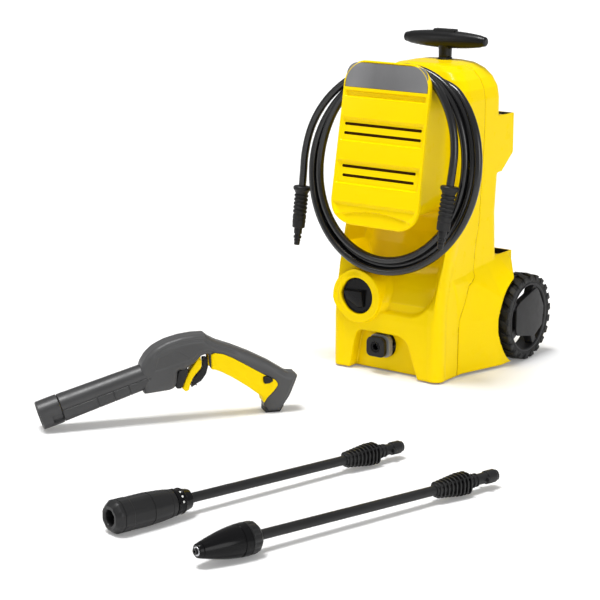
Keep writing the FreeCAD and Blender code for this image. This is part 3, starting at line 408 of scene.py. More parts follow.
def six_sided(corners, bevel):
    """A bevelled block from its eight corners, which come as three nested loops give them."""
    faces = [(0, 1, 2, 3), (4, 5, 6, 7), (0, 1, 5, 4), (1, 2, 6, 5), (2, 3, 7, 6), (3, 0, 4, 7)]
    return solid([corners[i] for i in (0, 1, 3, 2, 4, 5, 7, 6)], faces, bevel)


def block(centre, size, axes, bevel=0.6):
    """A bevelled block with its three sizes along three axes."""
    ends = (-0.5, 0.5)
    return six_sided([centre + axes[0] * (a * size[0]) + axes[1] * (b * size[1]) + axes[2] * (c * size[2])
                      for c in ends for b in ends for a in ends], bevel)


def prism(outline, origin, across, up, depth, bevel=0.0):
    """An outline given as (across, up), made depth thick along their cross product."""
    out = across.cross(up).normalized() * depth
    foot = [origin + across * a + up * b for a, b in outline]
    head = [place + out for place in foot]
    count = len(foot)
    faces = [tuple(range(count)), tuple(range(count, 2 * count))]
    faces += [(k, (k + 1) % count, (k + 1) % count + count, k + count) for k in range(count)]
    return solid(foot + head, faces, bevel)


def soft_loop(points, radius=0.0, steps=5):
    """A closed outline whose corners are arcs, or smaller ones where sides are short.

    A point's third number is the radius of its own corner."""
    result = []
    count = len(points)
    for k in range(count):
        a, b, c = (Vector(points[i % count][:2]) for i in (k - 1, k, k + 1))
        arrive, leave = (b - a).normalized(), (c - b).normalized()
        half_turn = arrive.angle(leave, 0.0) / 2.0
        if half_turn < 0.01:
            result.append((b.x, b.y))
            continue
        wanted = points[k][2] if len(points[k]) > 2 else radius
        trim = min(wanted * math.tan(half_turn), (b - a).length * 0.48, (c - b).length * 0.48)
        real = trim / math.tan(half_turn)
        centre = b + (leave - arrive).normalized() * (real / math.cos(half_turn))
        start = b - arrive * trim - centre
        sign = 1.0 if arrive.x * leave.y - arrive.y * leave.x > 0 else -1.0
        for j in range(steps + 1):
            angle = sign * 2.0 * half_turn * j / steps
            cosine, sine = math.cos(angle), math.sin(angle)
            result.append((centre.x + start.x * cosine - start.y * sine,
                           centre.y + start.x * sine + start.y * cosine))
    return result


def scaled(outline, middle, scale):
    """An outline made larger or smaller about a point; its corner radii stay."""
    a0, b0 = middle
    return [(a0 + (a - a0) * scale, b0 + (b - b0) * scale, *radius) for a, b, *radius in outline]


# ======== camera, floor, light
def aimed(obj, direction):
    obj.rotation_euler = Vector(direction).to_track_quat("-Z", "Y").to_euler()


camera_data = bpy.data.cameras.new("camera")
camera = placed("camera", camera_data)
camera_turn, camera_drop = math.radians(36.7), math.radians(13.8)
look_along = Vector((-math.sin(camera_turn) * math.cos(camera_drop),
                     math.cos(camera_turn) * math.cos(camera_drop), -math.sin(camera_drop)))
camera.location = at(1698.46, -2650.67, 874) * MM
aimed(camera, look_along)
camera_data.sensor_width = 36.0
camera_data.lens = 112.98
scene.camera = camera
scene.view_settings.view_transform = "Standard"

floor_mesh = bpy.data.meshes.new("floor")
reach = 20.0
floor_mesh.from_pydata([(-reach, -reach, 0), (reach, -reach, 0), (reach, reach, 0), (-reach, reach, 0)], [],
                       [(0, 1, 2, 3)])
floor = placed("floor", floor_mesh)
floor_tree, floor_shader = material("floor_paper")
paper = blended(floor_tree, object_noise(floor_tree, 3.0), (0.82, 0.82, 0.82), (0.80, 0.80, 0.80))
# a little light of its own keeps the paper white where the machine throws yellow on it
feed(floor_tree, floor_shader, {"Base Color": paper, "Roughness": 0.8, "Specular IOR Level": 0.1,
                                "Emission Color": (1, 1, 1, 1), "Emission Strength": 0.14})
floor_mesh.materials.append(looks["floor_paper"])
floor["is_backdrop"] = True

world = bpy.data.worlds.new("studio")
scene.world = world
world.use_nodes = True
background = world.node_tree.nodes["Background"]
feed(world.node_tree, background, {"Color": (1, 1, 1, 1), "Strength": 0.40})


def sun(name, towards, width, strength):
    """A wide soft light from far away, as from a large diffuser."""
    data = bpy.data.lights.new(name, "SUN")
    data.angle = math.radians(width)
    data.energy = strength
    aimed(placed(name, data), -Vector(towards))


def panel_light(name, place, target, size, power):
    data = bpy.data.lights.new(name, "AREA")
    data.shape = "RECTANGLE"
    data.size, data.size_y = size
    data.energy = power
    obj = placed(name, data)
    obj.location = place
    aimed(obj, Vector(target) - Vector(place))


sun("top_light", (-0.10, -0.18, 1), 18.0, 2.75)
sun("right_light", (1, -0.30, 0.30), 34.0, 0.95)
panel_light("left_strip", (-1.7, -2.3, 1.5), (0, -0.3, 0.2), (0.16, 1.5), 6.0)

# ======== hose
HOSE_RADIUS = 6.5
right_tail = [(133, -153, 338), (135.1, -149.9, 362.5), (135.5, -145, 391), (128.5, -138, 424),
              (113.7, -132, 456), (94, -127, 483), (70, -122, 502), (40, -120, 512)]
left_tail = [(-42, -80, 512), (-74, -92, 501), (-104, -105, 482), (-133, -111, 456), (-157, -113, 425),
             (-172.5, -115.5, 390), (-179.2, -119, 351), (-179.2, -121, 325), (-180.5, -123, 300)]
TURNS, TURN_POINTS = 3, 24
TOP_Z, MIDDLE_Z = 512.5, 349.0
COIL_Y, COIL_LEAN, COIL_SKEW, COIL_MIDDLE_Z = -119.5, 0.107, 0.05, 345.0
# what each turn passes: how far left and right, how low, and its place across the ring there
left_side = [(-142, -5), (-150, 6), (-157, -5)]
low_side = [(196, -3), (186.5, 5), (177.5, -3)]
right_side = [(139, -2), (151, 3), (163.5, -2)]
top_side = [-18, -5, 8, 21]
MIDDLE_X = 1.0


def coil_points():
    """The turns of the hose on its holder, which get a place of their own in every quarter."""
    points = []
    steps = TURNS * TURN_POINTS
    for k in range(1, steps):
        turn, share = divmod(k / TURN_POINTS, 1.0)
        turn = int(turn)
        quarter, t = divmod(share * 4.0, 1.0)
        angle = math.pi / 2.0 + share * 2.0 * math.pi
        left, low, right = left_side[turn], low_side[turn], right_side[turn]
        stops = [top_side[turn], left[1], low[1], right[1], top_side[turn + 1]]
        quarter = int(quarter)
        off = stops[quarter] + (stops[quarter + 1] - stops[quarter]) * float(soft(t))
        wide = (MIDDLE_X - left[0]) if quarter in (0, 1) else (right[0] - MIDDLE_X)
        tall = (TOP_Z - MIDDLE_Z) if quarter in (0, 3) else (MIDDLE_Z - low[0])
        x = MIDDLE_X + wide * math.cos(angle) * 1.008
        z = MIDDLE_Z + tall * math.sin(angle) * 1.004
        drop = COIL_MIDDLE_Z - z
        points.append((x - COIL_SKEW * drop, COIL_Y - COIL_LEAN * drop + off, z))
    return points


def make_hose():
    route = right_tail + coil_points()[1:-1] + left_tail
    data = bpy.data.curves.new("hose", "CURVE")
    data.dimensions = "3D"
    spline = data.splines.new("NURBS")
    spline.points.add(len(route) - 1)
    for point, place in zip(spline.points, route):
        point.co = (place[0] * MM, place[1] * MM, place[2] * MM, 1.0)
    spline.order_u = 3
    spline.use_endpoint_u = True
    spline.resolution_u = 8
    data.bevel_depth = HOSE_RADIUS * MM
    data.bevel_resolution = 6
    data.use_fill_caps = True
    hose = placed("hose", data)
    data.materials.append(looks["hose_rubber"])
    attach(hose, "machine")
    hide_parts("hose_coil", "hose_tail_right", "hose_tail_left")
    return hose


GRIP_LENGTH = 72.0
grip_ends = {"right": (at(*right_tail[0]), Vector((-6, -9, -70)).normalized()),
             "left": (at(*left_tail[-1]), Vector((-4, -6, -71)).normalized())}


def make_hose_grip(side):
    """The ribbed grip and the nipple at one end of the hose."""
    top, axis = grip_ends[side]
    ribs = [(0, 7), (0, 12.5), (2, 15), (6, 15), (8.5, 12.6), (13, 10.6)]
    for k in range(5):
        s = 14.0 + 6.8 * k
        ribs += [(s, 10.2), (s + 1.2, 11.9), (s + 4.4, 11.9), (s + 5.6, 10.2)]
    ribs += [(48.5, 10.4), (50, 11.4), (56, 11.5), (56.6, 10.7), (57.6, 10.7), (58.2, 11.4), (71, 10.6),
             (GRIP_LENGTH, 9.6), (GRIP_LENGTH, 4.0)]
    squeezed = turned(eased(ribs, 0.5), top, axis, 64,
                      lambda angle, s: 1.0 - 0.10 * abs(math.cos(angle)) ** 6)
    grip = piece("hose_grip_" + side + "_ribbed", [squeezed], "soft_black", "machine",
                 instead=["hose_grip_" + side])
    tip = [(0, 4), (0, 7), (10, 7), (10, 5.2), (14, 5.2), (14, 6.8), (18, 6.8), (18, 5.2), (20, 5),
           (20.5, 5.6), (23, 5.6), (23.5, 5), (29, 5), (30, 4.2), (30, 2.4), (20, 2.2), (20, 0)]
    nipple = piece("hose_nipple_" + side + "_turned",
                   [turned(eased(tip, 0.35), top + axis * GRIP_LENGTH, axis, 48)], "black_plastic", "machine",
                   instead=["hose_nipple_" + side])
    return [grip, nipple]


hose = make_hose()
hose_fittings = make_hose_grip("right") + make_hose_grip("left")

# ======== housing
# the front wall between floor and shoulder, as (height, y)
FRONT_WALL = [(0, -135), (100, -135), (123.4, -131.5), (149.6, -114.2), (212.7, -77.2), (237.4, -65.7),
              (262, -59.5), (330, -58), (520, -58)]
KNOB_X, KNOB_Z, KNOB_RING_Y = -53.6, 129.6, -137.5
# both sides of the front wall stand further forward than its middle, as wings
WING_FRONT = [(110, -135), (130, -134.5), (150, -131.5), (178, -126), (195, -121.5), (215, -117.5),
              (232, -114), (262, -107), (285, -92), (305, -72), (330, -58)]
WING_ROOT = [(110, -70), (150, -50), (163, -32), (213, -20), (330, -8)]
PLAN_CORNER = 24.0


def squared_corners(points):
    """The upright front corners with a smaller radius than the CAD solid's."""
    x, y, z = points.T
    side = np.interp(z, [110, 262], [105.5, 97])
    wall = np.interp(z, *zip(*FRONT_WALL))
    out, fore = np.abs(x) - (side - PLAN_CORNER), (wall + PLAN_CORNER) - y
    turn = np.arctan2(np.maximum(fore, 0.0), np.maximum(out, 1e-6))
    grow = np.where((out > 0) & (fore > 0) & (z < 300.0), 0.27 * np.sin(2.0 * turn) ** 1.5, 0.0)
    return np.stack([x + np.sign(x) * out * grow, y - fore * grow, z], 1)


def sculpted_front(points):
    """Brings the wings forward and sinks the field between them, which ends below in a wide curved crease."""
    x, y, z = squared_corners(points).T
    wall = np.interp(z, *zip(*FRONT_WALL))
    root = np.interp(z, *zip(*WING_ROOT))
    inner = np.where(x < 0, np.interp(z, [150, 178, 215], [28, 48, 82]), 88.0)
    width = np.where(x < 0, np.interp(z, [150, 215], [24, 12]), 9.0)
    wing = soft((np.abs(x) - inner) / width) * soft((np.hypot(x - KNOB_X, z - KNOB_Z) - 33.0) / 8.0)
    target = wall + (np.minimum(np.interp(z, *zip(*WING_FRONT)), wall) - wall) * wing
    behind = root + (y - root) * (target - root) / (wall - root)
    before = target + (y - wall) * (KNOB_RING_Y - target) / (KNOB_RING_Y - wall)
    wider = np.interp(z, [140, 200, 250, 330], [0, 4, 6, 0]) * soft((np.abs(x) - 80.0) / 16.0)
    x = x + np.sign(x) * wider * soft((root - y) / (root - wall))
    y = np.where(y > root, y, np.where(y > wall, behind, np.where(z > 100.0, before, y)))
    corner, low = 46.0, 104.0
    half = 84.0 + 4.0 * np.clip((252.0 - z) / 79.0, 0.0, 1.0)
    across, below = np.abs(x) - (half - corner), low + corner - z
    past_both = np.hypot(np.maximum(across, 0.0), np.maximum(below, 0.0))
    depth = corner - np.where((across > 0) & (below > 0), past_both, np.maximum(across, below))
    band = 6.0 + 7.0 * soft((z - 140.0) / 50.0)
    sink = (4.5 + 3.5 * soft((190.0 - z) / 55.0)) * np.clip(depth / band, 0.0, 1.0) ** 1.6
    sink *= 1.0 - soft((z - 256.0) / 30.0)
    sink *= soft((np.hypot(x - KNOB_X, z - KNOB_Z) - 46.5) / 9.0)
    sink *= soft((target + 11.0 - y) / 3.0) * (1.0 - soft((wing - 0.35) / 0.65))
    return np.stack([x, y + sink, z], 1)


front = rounded_copy("front_housing", "front_shell", 1.4, 5, "yellow_shell", "machine")
moved(front, sculpted_front)
rear = rounded_copy("rear_housing", "rear_shell", 1.4, 5, "yellow_shell", "machine")

# the insides of both accessory pockets get the dark material as painted shade
POCKETS = [((-94.9, 64.5, 119.5), (94.9, 105.6, 184.4)), ((-94.9, 72.2, 362.3), (94.9, 101.7, 422.4))]


def in_shaded_pocket(centres):
    """Which of the places lie inside one of the pockets."""
    within = [((centres > low) & (centres < high)).all(axis=1) for low, high in POCKETS]
    return np.any(within, axis=0)


second_look(rear, "dark_plastic", in_shaded_pocket)

# ======== front panel
PANEL_UP = Vector((0, 0.168, 1)).normalized()
PANEL_OUT = Vector((0, -PANEL_UP.z, PANEL_UP.y))
PANEL_ORIGIN = at(0, -142, 477)
PANEL_TOP, PANEL_BOTTOM = 47.0, -222.0
PANEL_HALF_TOP, PANEL_HALF_BOTTOM = 83.0, 86.5
TOP_RADIUS, BOTTOM_RADIUS = 40.0, 42.0
PANEL_DEPTH, PANEL_ROWS = 8.0, 245
# height of the panel's face at each height over the floor, from the lip at the foot to the badge's seat
PANEL_LEVELS = [(250, -3.4), (289, -3.4), (294, 0), (323, 0), (325.4, -4), (357, -4), (362, 0), (392, 0),
                (394.4, -4), (426, -4), (431, 0), (463, 0), (465.4, -4), (472.6, -4), (474.4, 0),
                (478.9, 0), (479.3, -1.6), (530, -1.6)]
SLOT_ROWS = [(420, 75), (405, 75), (352, 72), (337, 70)]


def panel_half(w):
    """Half width of the panel at w, without its round corners."""
    share = (w - PANEL_BOTTOM) / (PANEL_TOP - PANEL_BOTTOM)
    return PANEL_HALF_BOTTOM + (PANEL_HALF_TOP - PANEL_HALF_BOTTOM) * share


def panel_reach(w):
    """Half width of the panel's outline at w, with its round corners."""
    reach_here = panel_half(w)
    for radius, past in ((TOP_RADIUS, w - PANEL_TOP + TOP_RADIUS),
                         (BOTTOM_RADIUS, PANEL_BOTTOM + BOTTOM_RADIUS - w)):
        if past > 0:
            reach_here -= radius - math.sqrt(max(radius * radius - past * past, 0.0))
    return reach_here


def panel_height(a, w):
    """Height of the panel's face over its front plane at (across, up)."""
    z = PANEL_ORIGIN.z + w * PANEL_UP.z
    side = panel_half(w) - abs(a)
    end, radius = (PANEL_TOP - w, TOP_RADIUS) if w > -80.0 else (w - PANEL_BOTTOM, BOTTOM_RADIUS)
    edge = min(side, end)
    if side < radius and end < radius:
        edge = radius - math.hypot(radius - side, radius - end)
    edge = max(edge, 0.0)
    level = float(np.interp(z, *zip(*PANEL_LEVELS)))
    ramp = (edge - 3.0) / 0.5 if z > 479.0 else (edge - 3.2) / 6.3
    height = level * float(soft(ramp))
    # the scooped lip: its upper edge is bowed and its side walls are long soft slopes
    lip = float(soft((283.0 - 9.0 * (a / 70.0) ** 2 - z) / 1.4))
    height += ((-5.6 - 1.2 * (1.0 - (a / 90.0) ** 2)) * float(soft((side - 4.0) / 30.0)) - height) * lip
    rounding = 2.2
    if edge < rounding:
        height -= rounding - math.sqrt(rounding ** 2 - (rounding - edge) ** 2)
    return height


def panel_mesh():
    """The panel's face in rows of points, with its border folded back to a flat rear."""
    rows = {PANEL_TOP, PANEL_BOTTOM}
    for k in range(1, 30):
        angle = math.pi / 2.0 * k / 30
        rows.add(PANEL_TOP - TOP_RADIUS + TOP_RADIUS * math.sin(angle))
        rows.add(PANEL_BOTTOM + BOTTOM_RADIUS - BOTTOM_RADIUS * math.sin(angle))
    rows |= {(z - PANEL_ORIGIN.z) / PANEL_UP.z for z, level in PANEL_LEVELS if 265.0 < z < 500.0}
    for k in range(1, PANEL_ROWS):
        w = PANEL_BOTTOM + (PANEL_TOP - PANEL_BOTTOM) * k / PANEL_ROWS
        if min(abs(w - other) for other in rows) > 0.35:
            rows.add(w)
    rows = sorted(rows)
    margins = [0, 0.35, 0.8, 1.4, 2.2, 2.9, 3.2, 3.6, 4.2, 5.2, 6.4, 7.8, 9.6]
    inner = 46
    points, faces, ring_rows = [], [], []
    for w in rows:
        reach_here = panel_reach(w)
        steps = [-reach_here + m for m in margins]
        steps += [(margins[-1] - reach_here) * (1.0 - 2.0 * k / inner) for k in range(1, inner)]
        steps += [reach_here - m for m in reversed(margins)]
        first = len(points)
        for a in steps:
            points.append(PANEL_ORIGIN + X * a + PANEL_UP * w + PANEL_OUT * panel_height(a, w))
        ring_rows.append(range(first, first + len(steps)))
    for low, high in zip(ring_rows, ring_rows[1:]):
        for k in range(len(low) - 1):
            faces.append((low[k], low[k + 1], high[k + 1], high[k]))
    border = list(ring_rows[0]) + [row[-1] for row in ring_rows[1:-1]] + list(reversed(ring_rows[-1]))
    border += [row[0] for row in reversed(ring_rows[1:-1])]
    back_first = len(points)
    for index in border:
        offset = points[index] - PANEL_ORIGIN
        points.append(points[index] - PANEL_OUT * (offset.dot(PANEL_OUT) + PANEL_DEPTH))
    count = len(border)
    for k in range(count):
        n = (k + 1) % count
        faces.append((border[k], border[n], back_first + n, back_first + k))
    faces.append(tuple(range(back_first, back_first + count)))
    return solid(points, faces)


def panel_slots():
    """The four slots as one mesh."""
    slots = []
    for z, half in SLOT_ROWS:
        w = (z - PANEL_ORIGIN.z) / PANEL_UP.z
        outline = [(-half, w - 2.4), (half, w - 2.4), (half, w + 2.4), (-half, w + 2.4)]
        slots.append(prism(soft_loop(outline, 2.3, 6), PANEL_ORIGIN - PANEL_OUT * 7.4, X, PANEL_UP, 10.0))
    return joined("slots", slots)


def in_slot(centres):
    """Which of the places lie inside one of the slots."""
    sunk = (centres - np.array(PANEL_ORIGIN)) @ np.array(PANEL_OUT)
    near_row = np.any([np.abs(centres[:, 2] - z) < 3.4 for z, half in SLOT_ROWS], axis=0)
    return (sunk > -7.5) & (sunk < -4.25) & (np.abs(centres[:, 0]) < 76.0) & near_row


hose_panel = piece("hose_panel", [panel_mesh()], "yellow_shell", "machine", 34.0,
                   instead=["front_panel"], holes=[panel_slots()])
second_look(hose_panel, "slot_shadow", in_slot)

badge_inset, badge_low = 4.4, 2.6
badge_high = PANEL_TOP - badge_inset
low_half, high_half = panel_half(badge_low) - badge_inset, PANEL_HALF_TOP - badge_inset
badge_outline = soft_loop([(-low_half, badge_low, 1.0), (low_half, badge_low, 1.0),
                           (high_half, badge_high, 40.0), (-high_half, badge_high, 40.0)], steps=14)
piece("badge_face", [prism(badge_outline, PANEL_ORIGIN - PANEL_OUT * 1.55, X, PANEL_UP, 1.5, 0.35)],
      "brushed_badge", "machine", 40.0, instead=["badge_plate"])

# ======== switch and outlet
knob_front = at(KNOB_X, -137.3, KNOB_Z)
disc_profile = [(8.9, 0), (8.9, 30.2), (1.2, 30.4), (0, 29.4), (0, 27.8), (0.8, 27), (0.8, 0)]
disc = turned(eased(disc_profile, 0.5), knob_front, Y, 96)
# the grip is a wedge: highest along its upper edge, falling away downwards
wedge_foot = [(-25.5, 8.6), (11.5, 10.2), (13, -18.5), (0.5, -21.5), (-23.5, -7.5)]
wedge_head = [(-24, 7, 7.6), (10, 8.6, 7.9), (11.4, -16.5, 3.4), (0, -19, 2.2), (-21.5, -6, 5)]
wedge_points = [knob_front + X * a + Z * b + Y * 0.9 for a, b in wedge_foot]
wedge_points += [knob_front + X * a + Z * b - Y * h for a, b, h in wedge_head]
wedge_faces = [(0, 1, 2, 3, 4), (5, 6, 7), (5, 7, 8), (5, 8, 9)]
wedge_faces += [(k, (k + 1) % 5, (k + 1) % 5 + 5, k + 5) for k in range(5)]
wedge = solid(wedge_points, wedge_faces, 0.8)
shaft = turned([(8, 0), (8, 4), (21, 4), (21, 0)], knob_front, Y, 32)
piece("knob_grip", [disc, wedge, shaft], "gloss_black", "switch", 30.0,
      instead=["switch_knob"])

rounded_copy("outlet_face", "outlet_release", 0.6, 3, "black_plastic", "outlet_button")
sleeve = rounded_copy("outlet_sleeve", "outlet_body", 0.6, 3, "grey_plastic", "machine")
second_look(sleeve, "gloss_black", lambda centres: centres[:, 1] < -131.0)

# ======== handle
HANDLE_Y, BAR_Z = 36.0, 546.0
spindle_profile = [(-80, 0), (-80, 5), (-79.4, 6.6), (-78.4, 7.6), (-76.6, 8.2), (-74, 8.5)]
for k in range(1, 24):
    t = -0.92 + 1.84 * k / 24
    spindle_profile.append((80.0 * t, 8.5 + 6.3 * (1.0 - (t / 0.98) ** 2) ** 0.9))
spindle_profile += [(-along, radius) for along, radius in reversed(spindle_profile[:6])]
spindle = turned(spindle_profile, at(0, HANDLE_Y, BAR_Z), X, 72)


def flattened(angle, along):
    """The throat of the handle is flat where it meets the bar."""
    return 1.0 - 0.30 * abs(math.cos(angle)) * min(max((along - 12.0) / 14.0, 0.0), 1.0) ** 2


throat = turned([(0, 0), (0, 10.4), (1, 11.2), (12, 11.3), (17, 12.2), (22, 14.6), (26, 18), (30, 19),
                 (30, 0)], at(0, HANDLE_Y, 516.6), Z, 64, flattened)
piece("handle_bar", [spindle, throat], "black_plastic", "handle", 60.0, melting(0.8, 3),
      ["handle_grip"], True)
rounded_copy("handle_push_button", "handle_button", 0.6, 3, "black_plastic", "handle_latch")
guide_tube = turned([(-121, 9.3), (-121, 13.3), (-3, 13.3), (-0.2, 13.3), (-0.2, 12), (2.4, 12), (3, 11.4),
                     (3, 9.3)], at(0, HANDLE_Y, 513.0), Z, 64, closed=True)
piece("handle_collar", [guide_tube], "dark_plastic", "machine", instead=["handle_guide"])

# ======== wheels
LUG_PAIRS = 22
INNER_RIMS = ((69.5, 5.3), (75, 4.3))
OUTER_RIMS = ((69.5, 5.3), (73.6, 4.3))
SIDE_RIMS = ((64, 3.6), (73.4, 4.4))
HUB_PLATE = [(23, 48), (-31, 32), (-42, 25), (-42, -19), (-36, -26), (19, -37), (46, -22), (50, 11),
             (31, 42)]


def make_wheel(side, sign, body):
    """A tyre with its lugs, and the rim, hub and spokes inside it."""
    centre = at(sign * 105.0, 94.0, 75.0)
    axis = X * sign

    def spot(along, radius, angle):
        return centre + axis * along + Y * (radius * math.cos(angle)) + Z * (radius * math.sin(angle))

    def lug(middle, ends, bevel):
        """ends: along, turn in degrees, and for two radii the radius and half the width in degrees."""
        corners = [spot(along, radius, math.radians(middle + turn + edge * wide))
                   for along, turn, rims in ends for radius, wide in rims for edge in (-1, 1)]
        return six_sided(corners, bevel)

    tread = [(0.5, 59.5), (0.5, 67.5), (3.5, 71), (34, 71), (37, 68.5), (37.3, 62.5), (36.2, 59.5)]
    tyre = [turned(tread, centre, axis, 96, closed=True)]
    step = 360.0 / LUG_PAIRS
    for k in range(LUG_PAIRS):
        tyre.append(lug(step * k, ((18.6, -4.0, INNER_RIMS), (37.6, 4.0, OUTER_RIMS)), 0.7))
        tyre.append(lug(step * (k + 0.5), ((0.4, 4.0, OUTER_RIMS), (19.4, -4.0, INNER_RIMS)), 0.7))
        tyre.append(lug(step * k + 4.0, ((36.4, 0.0, SIDE_RIMS), (38.0, 0.0, SIDE_RIMS)), 0.6))
    piece("tyre_" + side, tyre, "tyre_rubber", body, instead=["wheel_" + side])

    def plate(scale, low, high, bevel):
        """The hub's plate: it ends at high on the right wheel and at low on the left one."""
        start, thick = (high, low - high) if sign > 0 else (low, high - low)
        outline = soft_loop(scaled(HUB_PLATE, (0, 0), scale), 5.0, 4)
        return prism(outline, centre + axis * start, Y, Z, thick, bevel)

    rim_profile = [(5, 55.5), (5, 60), (36.6, 60), (37.4, 59.2), (37.4, 57.2), (36, 55.5)]
    hub_profile = eased([(-6.4, 5.1), (-6.4, 13), (34, 13), (34, 5.1)], 0.5)
    rim = turned(rim_profile, centre, axis, 96, closed=True)
    hub = turned(hub_profile, centre, axis, 48, closed=True)
    parts = [rim, hub, plate(1.0, 34.6, 38.0, 0.8), plate(0.9, 22.0, 35.0, 0.5)]
    for degrees in (148, 207, 65, 298, 0):
        out = spoke(Y, Z, math.radians(degrees))
        place = centre + axis * 27.0 + out * 46.0
        parts.append(block(place, (24, 13, 16), (out, axis.cross(out), axis), 1.0))
    piece("wheel_disc_" + side, parts, "wheel_plastic", body)


make_wheel("right", 1, "right_wheel")
make_wheel("left", -1, "left_wheel")

# ======== spray gun
GUN_START = at(-244, -693, 0)
GUN_ALONG = Vector((0.5964, 0.8027, 0)).normalized()
GUN_SIDE = GUN_ALONG.cross(Z)
# outlines are (length along the gun, height, and for some the radius of the corner)
GUN_OUTLINE = [(152, 47, 3), (193, 50, 20), (200.5, 53.5, 6), (204, 62, 6), (205.5, 80, 3), (217, 80.5, 8),
               (233, 91, 20), (243, 101, 8), (254, 103, 2), (256.5, 80, 2), (264, 79, 12), (274, 74.6, 30),
               (292.5, 64, 60), (314.5, 49, 60), (338.4, 30.3, 30), (343, 22, 8), (343.5, 10.6, 8),
               (349, 0.6, 4), (367.7, 0.6, 4), (384.6, 24.9, 40), (394, 47.5, 20), (397.3, 57, 3),
               (393.5, 61.5, 3), (381, 62.8, 14), (353, 81.5, 60), (320.9, 98.9, 60), (291.6, 112.2, 60),
               (269, 121, 30), (257.5, 127.5, 6), (249, 134.6, 4), (230.8, 134.9, 40), (210.7, 132.8, 40),
               (188.7, 127.5, 40), (169.6, 118.5, 40), (157.5, 107.5, 30), (149, 94, 20), (147, 84, 6)]
INSERT_OUTLINE = [(257, 103, 3), (263.3, 105.3, 10), (276, 102.4, 20), (291.5, 94.8, 60), (318.8, 77.9, 80),
                  (346.4, 60.8, 60), (359.4, 54.2, 6), (364.9, 46.3, 5), (357.4, 35.7, 20),
                  (346.3, 25.5, 20), (342, 14.5, 1), (340, 26.5, 14), (314.5, 46.5, 60), (292.5, 61.6, 60),
                  (274.3, 72.4, 30), (264.3, 76.8, 12), (258, 77.4, 3)]
TRIGGER_OUTLINE = [(238, 96, 2), (244.5, 92, 2), (243.7, 80.7, 12), (231.4, 67.4, 20), (226.2, 57.6, 12),
                   (224, 46.5, 3), (219, 44, 3), (213.5, 48.5, 4), (217.2, 61.5, 30), (223.4, 74.2, 30),
                   (232, 86, 12)]
LOCK_OUTLINE = [(246, 80, 3), (247, 95, 2), (254, 95, 2), (254.6, 82.6, 20), (251.4, 69.8, 20),
                (243.4, 59.3, 10), (235.3, 54.8, 10), (226, 48.8, 3), (228.4, 57, 8), (233, 66, 12)]
THROAT_OUTLINE = [(201.5, 56), (206.5, 79.5), (222, 84.5), (220, 73), (213.5, 58), (210.5, 51.5),
                  (203, 51.5)]
FOOT_OUTLINE = [(344.2, 0.2), (368.4, 0.2), (375.5, 11.5), (361, 14.5), (344.2, 9.5)]
BUTTON_OUTLINE = [(339.6, 61.2), (349.5, 60), (357, 53.6), (350, 50), (341.6, 49.4)]
TRIGGER_ROOM = [(208, 40), (206, 70), (218, 84), (221, 107), (259, 107), (271, 100), (271, 66), (259, 40)]
SIDE_PLATE = [(174, 104), (199, 114.5), (206, 112.5), (226, 98.5), (189, 88.5), (168, 84)]
# half the thickness of the slabs that become the gun's body and its insert
SLAB_HALF = 20.0
gun_loop = soft_loop(GUN_OUTLINE, steps=6)
insert_loop = soft_loop(INSERT_OUTLINE, steps=6)


def gun_point(s, h, across=0.0):
    return GUN_START + GUN_ALONG * s + Z * h + GUN_SIDE * across


def gun_places(points):
    """Length along the gun, height and distance from its middle plane."""
    offset = points - np.array(GUN_START)
    return offset @ np.array(GUN_ALONG), points[:, 2], offset @ np.array(GUN_SIDE)


def across_gun(points, change):
    return points + np.outer(change, np.array(GUN_SIDE))


def gun_width(s):
    """Half width of the gun's body: full at the body, slimmer along the handle, flared at the butt."""
    return np.interp(s, [150, 180, 250, 300, 340, 372, 398], [19.5, 19.8, 19.5, 17, 16.2, 17.4, 19])


def swollen(depth, s):
    """Share of the half width that is left at a depth inside the outline."""
    reach_in = np.interp(s, [160, 200, 260, 290, 400], [8, 14, 14, 17, 11])
    share = 1.0 - np.clip(depth / reach_in, 0.0, 1.0)
    return 0.50 + 0.50 * np.sqrt(np.maximum(1.0 - share ** 2, 0.0))


def narrowed(c, scale):
    """Distance from the middle plane after scaling; the trigger's pocket inside keeps its width."""
    kept = 9.2
    outer = kept + (np.abs(c) - kept) * (scale * SLAB_HALF - kept) / (SLAB_HALF - kept)
    return np.sign(c) * np.where(np.abs(c) > kept, outer, np.abs(c))


def shaped_body(points):
    """The slab of the gun's body made round, with its grooves and its side plate."""
    s, h, c = gun_places(points)
    depth = inside_depth(s, h, gun_loop)
    scale = gun_width(s) / SLAB_HALF * swollen(depth, s)
    # soft grooves follow the crown and the butt, and a plain plate is let into the side
    crown = soft((h - 92.0) / 8.0) * (1.0 - soft((s - 292.0) / 14.0)) * soft((s - 166.0) / 5.0)
    groove = np.exp(-((depth - 7.4) / 1.5) ** 2) * crown * 1.3
    plate = soft(inside_depth(s, h, SIDE_PLATE) / 1.4 + 0.5) * 0.9
    butt = np.exp(-((depth - 4.6) / 1.3) ** 2) * soft((s - 352.0) / 8.0)
    butt *= soft((30.0 - np.abs(h - 40.0)) / 8.0)
    side = np.sign(c) * np.clip(np.abs(c) / 10.0, 0.0, 1.0)
    return across_gun(points, narrowed(c, scale) - c - side * (groove + plate + butt))


def shaped_insert(points):
    """The soft insert stands a little proud of the body around it and has a rounded rim."""
    s, h, c = gun_places(points)
    depth = inside_depth(s, h, gun_loop) + 3.6
    own = inside_depth(s, h, insert_loop)
    scale = (gun_width(s) + 0.6) / SLAB_HALF * swollen(depth, s)
    rim = (1.0 - np.clip(own / 2.0, 0.0, 1.0)) ** 2 * 1.1
    side = np.sign(c) * np.clip(np.abs(c) / 10.0, 0.0, 1.0)
    return across_gun(points, narrowed(c, scale) - c - side * rim)


def gun_slab(outline, low, high, bevel=0.0):
    """An outline of the gun made solid between two distances from its middle plane."""
    return prism(outline, gun_point(0.0, 0.0, low), GUN_ALONG, Z, high - low, bevel)


